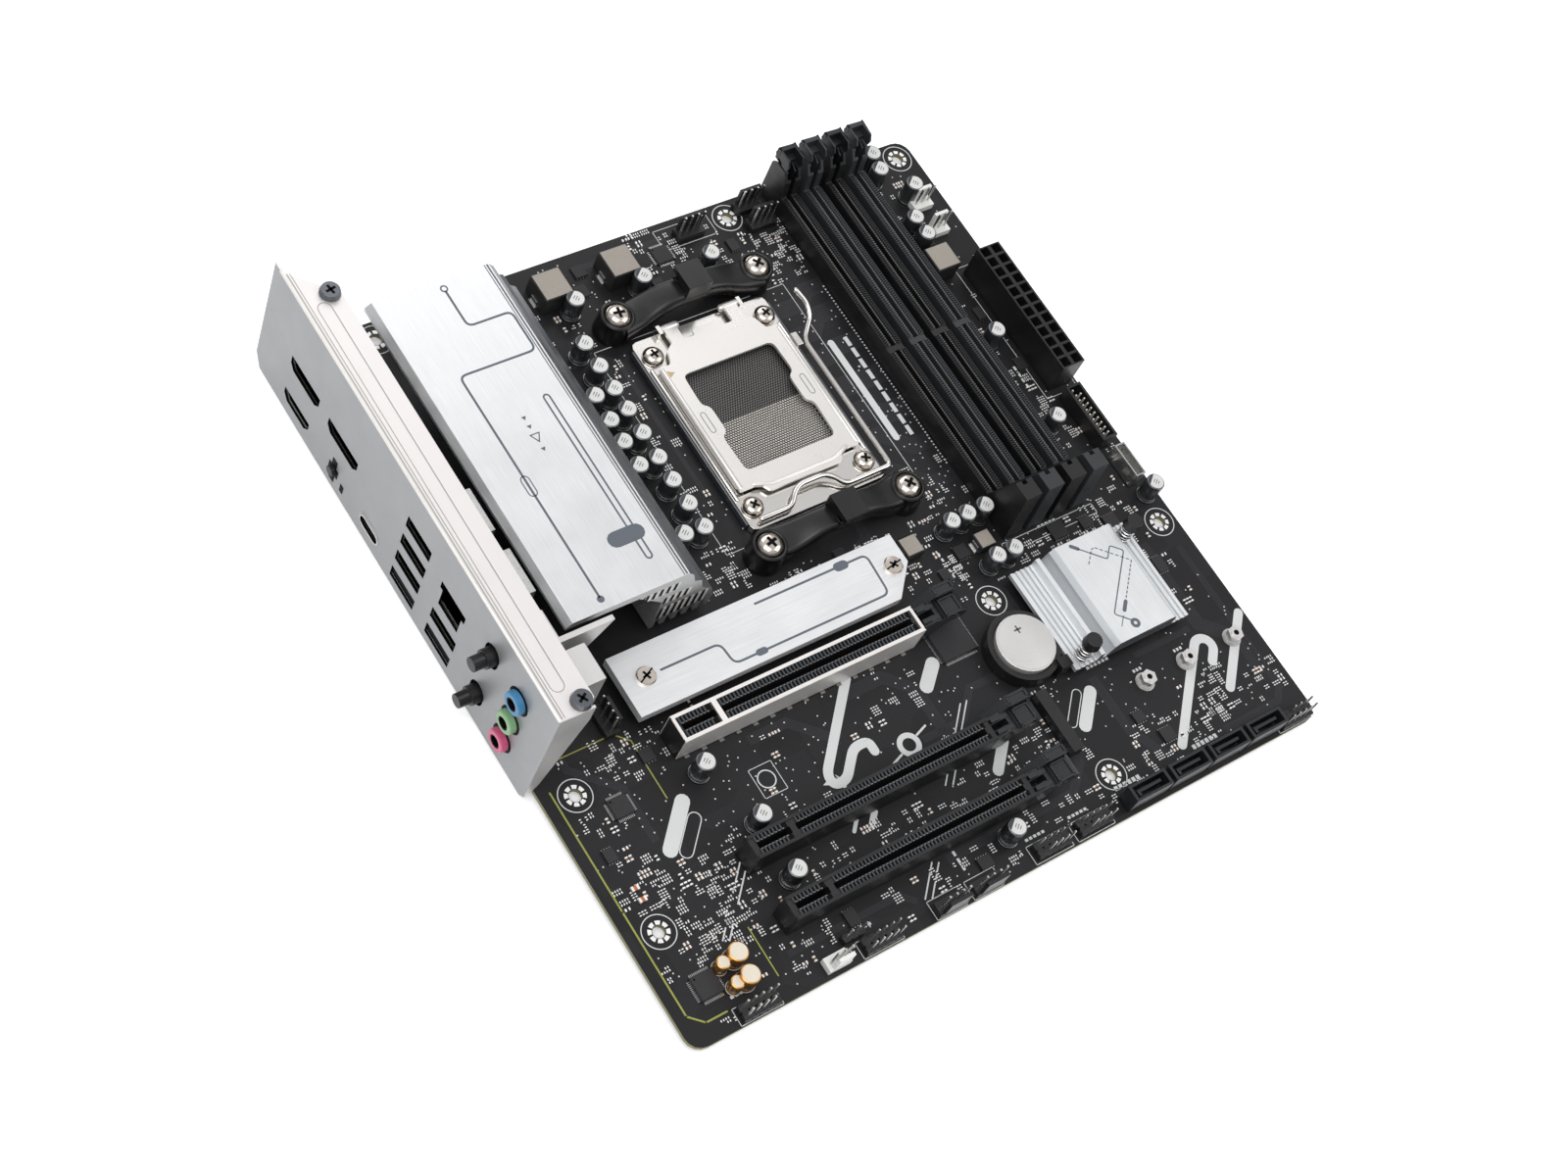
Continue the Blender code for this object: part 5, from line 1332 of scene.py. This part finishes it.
def storage_sink_art():
    """Line art on the long storage heatsink: a bent line through two pills."""
    top = LOW_SINK_TOP
    shape = Shape()
    path = [(49.4, 100.6), (70.3, 100.6), (70.9, 93.0), (128.9, 93.0), (129.7, 107.4), (87.6, 107.4)]
    shape.stroke(rounded(path, 2.4), 0.72, top)
    shape.stroke([(118.8, 107.4), (121.2, 107.4)], 3.0, top, rise=PRINT_RISE * 1.6)
    shape.stroke([(79.8, 93.0), (81.8, 93.0)], 2.2, top, rise=PRINT_RISE * 1.6)
    shape.done("storage_heatsink_art", ["ink"])


def chipset_sink_art():
    """Line art on the chipset heatsink: a bent line to a ring, and a dashed one to a pill."""
    top = LOW_SINK_TOP
    shape = Shape()
    shape.stroke([(195.0, 82.3), (196.7, 80.6)], 1.3, top)
    path = [(196.9, 80.4), (204.0, 73.4), (207.7, 77.2), (211.2, 73.8), (193.7, 56.4), (197.6, 52.5)]
    shape.stroke(rounded(path, 0.9), 0.42, top)
    shape.ring((198.5, 50.9), 0.6, 1.7, top, top + PRINT_RISE)
    dashes = [(196.9, 74.6), (201.0, 78.6), (202.4, 78.6), (211.4, 69.8), (200.6, 58.9)]
    for start, end in zip(dashes, dashes[1:]):
        a, b = Vector(start), Vector(end)
        count = max(1, int((b - a).length / 1.7))
        for i in range(count):
            shape.stroke([a.lerp(b, i / count), a.lerp(b, (i + 0.5) / count)], 0.36, top)
    shape.stroke([(200.2, 58.5), (197.8, 56.1)], 1.3, top)
    shape.stroke([(196.2, 54.6), (193.4, 51.8)], 0.28, top)
    shape.done("chipset_heatsink_art", ["ink"])


def pin_springs():
    """The coil springs under the chipset heatsink's push pins."""
    low, high, turns, steps = 4.9, 11.9, 5, 16
    count = turns * steps
    for k, (x, y) in enumerate(((178.0, 50.4), (217.6, 79.4)), 1):
        coil = arc((x, y), 2.2, 0.0, 360.0 * turns, count)
        path = [(*p, low + (high - low) * i / count) for i, p in enumerate(coil)]
        shape = Shape()
        shape.tube(path, 0.32, steps=8)
        shape.lathe((x, y, 11.6), [(2.7, 0.0), (2.7, 0.6)], 1)
        piece = shape.done(f"pin_spring_{k}", ["tin", "black"])
        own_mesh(piece)


# ---------------------------------------------------------------- processor clamp, screws and battery


def load_lever():
    """The bent wire that locks the processor's load plate."""
    axis_y, x, z = 133.3, 159.8, 4.5
    path = [
        (x + 3.4, 198.6, 11.5), (x + 5.8, 194.6, 9.0), (x + 5.6, 190.6, 6.8), (x + 2.2, 187.0, 5.2),
        (x, 184.0, z), (x, axis_y, z), (SOCKET_X + 10.5, axis_y, z), (SOCKET_X + 7.5, axis_y + 3.6, z + 1.0),
        (SOCKET_X + 4.5, axis_y + 5.2, z + 1.5), (SOCKET_X - 4.5, axis_y + 5.2, z + 1.5),
        (SOCKET_X - 7.5, axis_y + 3.6, z + 1.0), (SOCKET_X - 10.5, axis_y, z), (SOCKET_X - 22.0, axis_y, z),
    ]
    shape = Shape()
    shape.tube(rounded(path, 2.0, 6), 0.95, steps=16)
    piece = shape.done("locking_wire", ["bright"], "moving_load_lever")
    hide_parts("load_lever")


def plate_folds():
    """The load plate's rolled rails and ridge, its stamped tabs, and a plain corner mark."""
    shape = Shape()
    for side in (-1, 1):
        x = SOCKET_X + side * 22.6
        shape.tube([(x, 145.2, 4.9), (x, 191.4, 4.9)], 0.85, steps=16)
        tab = SOCKET_X + side * 19.4
        shape.outline_stroke([(tab, 166.4), (tab, 172.4)], 2.0, 0.22, PLATE_TOP, 1)
        hinge = SOCKET_X + side * 11.8
        shape.tube([(hinge - 2.9, 205.3, 4.5), (hinge + 2.9, 205.3, 4.5)], 1.25, steps=16)
    ridge = rounded([(SOCKET_X - 18.0, 144.7, 4.9), (SOCKET_X - 12.6, 142.6, 4.9),
                     (SOCKET_X + 12.6, 142.6, 4.9), (SOCKET_X + 18.0, 144.7, 4.9)], 2.0)
    shape.tube(ridge, 0.8, steps=14)
    x, y = SOCKET_X - 20.6, 189.4
    shape.prism([(x - 1.1, y - 1.3), (x + 1.3, y), (x - 1.1, y + 1.3)], PLATE_TOP, PLATE_TOP + PRINT_RISE, 2)
    shape.done("load_plate_folds", ["plate", "zinc", "tan"], "moving_load_plate")


def frame_rails():
    """Polished rails along the socket frame's sides, and the turned-down lips outside them."""
    shape = Shape()
    for side in (-1, 1):
        x = SOCKET_X + side * 24.9
        shape.tube([(x, 142.6, 3.1), (x, 193.4, 3.1)], 0.75, steps=14)
        edge = SOCKET_X + side * 26.4
        shape.box((edge - 0.35, 134.0, 0.3), (edge + 0.35, 202.4, 2.7), 1)
    shape.done("socket_frame_rails", ["bright", "zinc"], bevel=0.15)


def domed_screw(shape, x, y, low, radius, height, foot):
    """A domed screw head with a four-armed recess painted near-black as shade, on a plain shank down to foot.
    """
    shank = 1.6
    profile = [
        (radius, 0.0), (radius, 0.18), (radius * 0.97, 0.34), (radius * 0.88, 0.6), (radius * 0.72, 0.84),
        (radius * 0.55, 0.96), (radius * 0.42, 1.0),
    ]
    shape.lathe((x, y, low), [(r, h * height) for r, h in profile], 0, steps=32)
    shape.lathe((x, y, foot), [(shank, 0.0), (shank, low + 0.2 - foot)], 0, steps=16)
    turn = rng.uniform(0.0, 90.0)
    for spin in (0.0, 90.0):
        arm = (radius * 0.92, radius * 0.26)
        shape.turned_box((x, y), arm, low + height * 0.9, low + height + 0.02, turn + spin, 1)
    shape.lathe((x, y, low + height), [(radius * 0.2, 0.0), (radius * 0.18, 0.03)], 1, steps=12)


def clamp_screws():
    """The screws of the socket frame and of the cooler brackets, in place of their plain nodes."""
    shape = Shape()
    names = []
    for k in range(1, 5):
        for kind, radius, height, seat in (("socket", 3.6, 2.3, 2.2), ("bracket", 4.35, 2.9, 2.0)):
            name = f"{kind}_screw_{k}"
            low, high = span(name)
            domed_screw(shape, *middle(name).xy, high.z - seat, radius, height, low.z)
            names.append(name)
    piece = shape.done("clamp_screws", ["warm", "dark"])
    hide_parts(*names)


def cooler_brackets():
    """Glossy black bridges: a round cup at each screw, a bowed arm, and a hook at the middle."""
    reach, steps = 27.0, 36
    cup = [(2.3, 0.3), (6.4, 0.3), (6.1, 4.0), (5.9, 7.4), (5.7, 8.3), (5.2, 8.8), (4.8, 8.7),
           (4.5, 8.2), (4.45, 6.6), (2.3, 6.6), (2.3, 0.3)]
    hook = [(-4.2, 9.0), (4.2, 9.0), (4.2, 12.8), (2.0, 12.8), (2.0, 14.4), (5.6, 14.4), (5.6, 16.6),
            (-4.2, 16.6)]
    for name, toward in (("cooler_bracket_lower", -1), ("cooler_bracket_upper", 1)):
        x, y = SOCKET_X, SOCKET_Y + toward * 45.0
        shape = Shape()
        rings = []
        for i in range(steps + 1):
            along = -1 + 2 * i / steps
            swell = 0.5 - 0.5 * math.cos(math.pi * min(1.0, max(0.0, (0.86 - abs(along)) / 0.66)))
            bottom, top = 1.0 + 5.4 * swell, 8.0 + 4.4 * swell
            width = 5.5 - 1.2 * swell
            bow = y - toward * 1.6 * (1 - swell) * abs(along) ** 4
            flat = rounded_rectangle((bow - width, bottom), (bow + width, top), 1.9, 4)
            rings.append([(x + along * reach, p, h) for p, h in flat])
        shape.loft(rings, [0] * steps)
        for side in (-1, 1):
            shape.lathe((x + side * reach, y, 0.0), cup, steps=40)
        shape.prism([(y + toward * u, v) for u, v in hook], x - 4.6, x + 4.6, axis="X")
        piece = shape.done(name.replace("cooler", "curved"), ["black_gloss"], bevel=0.35)
        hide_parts(name)


def cross_recess(shape, x, y, top, size):
    """A dark cross of painted shade just over a screw's head, where its recess is, turned as the screw
    happened to stop.
    """
    turn = rng.uniform(0, 90)
    for spin in (0.0, 90.0):
        shape.turned_box((x, y), (size, size * 0.26), top - 0.25, top + 0.03, turn + spin)


def screw_marks():
    """Dark crosses of painted shade on the panel's screws and on the storage heatsink's captive ones."""
    shape = Shape()
    for name in ("shield_screw_low", "shield_screw_high"):
        low, high = span(name)
        cross_recess(shape, *middle(name).xy, high.z, (high.x - low.x) * 0.5)
    for x in (44.0, 135.5):
        y, head = 100.5, LOW_SINK_TOP + 1.3
        shape.lathe((x, y, LOW_SINK_TOP), [(3.1, 0.0), (3.1, 0.9), (2.8, 1.2), (2.0, 1.3)], 1, steps=32)
        cross_recess(shape, x, y, head, 3.0)
        # painted shade: a dark slot across the head
        shape.turned_box((x, y), (6.0, 0.5), head - 0.4, head + 0.03, rng.uniform(0, 90))
    shape.done("screw_recesses", ["dark", "warm"])


def panel_trim():
    """The panel's folded bead, the pressed lines along its flange, and the rim round one socket: pale as the
    lit top, with darker lines of painted shade in the pressings.
    """
    low, high = span("io_shield")
    top = high.z - 0.2
    shape = Shape()
    shape.tube([(-2.75, low.y + 0.7, 45.5), (-2.75, high.y - 3.2, 45.5)], 0.5, 0, steps=16)
    for x, width, look in ((-1.95, 0.6, 1), (-1.0, 0.3, 1)):
        shape.box((x - width / 2, low.y + 0.8, top), (x + width / 2, high.y - 4.6, top + 0.05), look)
    shape.outline_stroke([(2.6, 227.4), (2.0, 96.6)], 4.5, 0.34, top, 1, rise=0.05)
    shape.outline_stroke([(2.6, 227.4), (2.0, 96.6)], 5.1, 0.28, top, 0, rise=0.08)
    shape.outline_stroke([(175.6, 4.0), (180.6, 4.0)], 6.4, 0.35, low.x - 0.1, 1, rise=0.12, axis="X")
    shape.outline_stroke([(175.0, 3.4), (181.2, 3.4)], 4.3, 0.3, low.x - 0.08, 0, rise=0.1, axis="X")
    shape.done("panel_trim", ["panel_top", "groove"])
    shape = Shape()
    # painted shade: near-black sheets in the button and switch cut-outs and behind the port mouths, where
    # there is only shade
    for y, z, tall, wide in ((199.6, 4.4, 10.0, 2.6), (199.6, 4.4, 3.4, 5.2), (194.0, 2.0, 3.2, 1.7)):
        shape.box((low.x - 0.12, y - wide / 2, z - tall / 2), (low.x, y + wide / 2, z + tall / 2))
    for z in (8.6, 30.6):
        shape.box((-2.0, 112.6, z - 8.0), (-1.8, 121.8, z + 8.0))
    shape.prism(stroke_outline([(175.0, 3.4), (181.2, 3.4)], 3.7), -2.15, -1.85, axis="X")
    for start, end in ((151.0, 164.6), (130.6, 144.2)):
        shape.box((-2.15, start, 0.0), (-1.85, end, 5.1))
    shape.done("panel_recess_shades", ["dark"])


def battery_face():
    """The cell's raised middle, with a plain plus sign pressed in it."""
    top = span("battery")[1].z
    x, y = middle("battery").xy
    shape = Shape()
    shape.lathe((x, y, top - 0.02), [(9.3, 0.0), (9.2, 0.1), (9.0, 0.14)], 0, steps=48)
    for half in ((1.4, 0.3), (0.3, 1.4)):
        shape.boxes([(x, y + 4.9)], half, top + 0.1, top + 0.13, 1)
    shape.done("battery_face", ["cell", "zinc"], "moving_battery", bevel=0.05)


def audio_sockets():
    """A steel housing and three coloured sleeves, each round a bore dark with painted shade, in place of the
    plain node.
    """
    y, sockets = 102.2, {"pink": 7.4, "green": 18.8, "blue": 30.2}
    housing = Shape()
    housing.box((-1.8, 96.6, 0.3), (11.4, 109.4, 35.2))
    housing.box((11.6, 96.9, 0.3), (21.6, 109.1, 33.8))
    for z in sockets.values():
        # painted shade: a near-black disc round each sleeve's mouth
        housing.lathe((-3.2, y, z), [(4.5, 0.0), (4.5, 1.6)], 1, "X", 32)
    piece = housing.done("audio_housing", ["steel", "dark"], bevel=0.3)
    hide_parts("audio_jacks")
    mouth = span("audio_jacks")[0].x
    profile = [(1.75, 2.4), (1.75, 0.1), (2.2, -0.02), (3.4, -0.02), (3.7, 0.3), (3.7, 3.4), (3.5, 3.4)]
    for name, z in sockets.items():
        shape = Shape()
        shape.lathe((mouth, y, z), profile, 0, "X", 36, looks=[1, 1, 0, 0, 0, 0])
        shape.done(f"audio_socket_{name}", [name, "dark"])


# in this order, because larger parts take their places first and the random draws follow it
for build in (
    dress_nodes, take_cad_places, capacitors, chokes, standoffs, chips, headers, small_parts, vias, print_art,
    hole_rings, part_marks, traces, memory_slots, memory_latches, card_slots, card_latch_detail,
    socket_contacts, power_pins, usb_header_pins, power_sink_art, storage_sink_art, chipset_sink_art,
    load_lever, plate_folds, frame_rails, clamp_screws, cooler_brackets, screw_marks, panel_trim,
    heatsink_end, pin_springs, underside, battery_face, audio_sockets,
):
    build()

# ---------------------------------------------------------------- floor, light and camera


def area_light(name, place, size, power):
    """A rectangular lamp at a place in metres, aimed at the middle of the board."""
    light = bpy.data.lights.new(name, "AREA")
    light.shape = "RECTANGLE"
    light.size, light.size_y = size
    light.energy = power
    lamp = bpy.data.objects.new(name, light)
    bpy.context.scene.collection.objects.link(lamp)
    lamp.location = place
    lamp.rotation_euler = (-Vector(place)).to_track_quat("-Z", "Y").to_euler()


def sky():
    """Soft light from all round, dim below and brightest in two bands, as in a studio tent."""
    world = bpy.data.worlds.new("studio")
    world.use_nodes = True
    tree = world.node_tree
    back = tree.nodes["Background"]
    kinds = ("TexCoord", "SeparateXYZ", "ValToRGB")
    place, split, ramp = (tree.nodes.new("ShaderNode" + kind) for kind in kinds)
    stops = ((0.0, 0.10), (0.22, 0.16), (0.36, 0.62), (0.62, 0.50), (0.80, 0.80), (1.0, 0.62))
    while len(ramp.color_ramp.elements) < len(stops):
        ramp.color_ramp.elements.new(0.5)
    for element, (height, light) in zip(ramp.color_ramp.elements, stops):
        element.position = height
        element.color = (light, light, light * 1.02, 1.0)
    tree.links.new(place.outputs["Generated"], split.inputs["Vector"])
    tree.links.new(split.outputs["Z"], ramp.inputs["Fac"])
    tree.links.new(ramp.outputs["Color"], back.inputs["Color"])
    back.inputs["Strength"].default_value = 1.0
    bpy.context.scene.world = world


def pale_floor():
    """A plain pale floor, lit a little from within so that it stays white, just under the part."""
    reach, z = 6.0, cad_bounds[0].z - 0.0005
    mesh = bpy.data.meshes.new("floor")
    mesh.from_pydata([(x, y, z) for x, y in rectangle((-reach, -reach), (reach, reach))], [], [(0, 1, 2, 3)])
    floor = bpy.data.objects.new("floor", mesh)
    pale = surface("pale_floor", "f4f4f4", 0.8, fine=300, mottle=0.01, bump=0.02)
    shader = pale.node_tree.nodes["Principled BSDF"]
    shader.inputs["Emission Color"].default_value = (1.0, 1.0, 1.0, 1.0)
    shader.inputs["Emission Strength"].default_value = 0.32
    mesh.materials.append(pale)
    bpy.context.scene.collection.objects.link(floor)


def camera():
    """A camera high outside the board's rear corner, rolled about its own line of sight."""
    data = bpy.data.cameras.new("camera")
    data.lens, data.sensor_width, data.clip_start = 57.98, 36.0, 0.01
    eye = bpy.data.objects.new("camera", data)
    bpy.context.scene.collection.objects.link(eye)
    place = CORNER + Vector((-272.21, -106.80, 630.49)) * MM
    target = CORNER + Vector((104.87, 111.64, 0.0)) * MM
    roll = Matrix.Rotation(math.radians(31.0), 3, "Z")
    eye.location = place
    eye.rotation_euler = ((target - place).to_track_quat("-Z", "Y").to_matrix() @ roll).to_euler()
    bpy.context.scene.camera = eye


sky()
area_light("key", (-0.5, -0.2, 1.1), (0.9, 0.9), 8.0)
area_light("fill", (0.7, -0.5, 0.7), (0.8, 0.8), 2.5)
area_light("back", (0.2, 0.9, 0.8), (1.2, 0.6), 3.5)
pale_floor()
bpy.context.scene.view_settings.view_transform = "Standard"
camera()
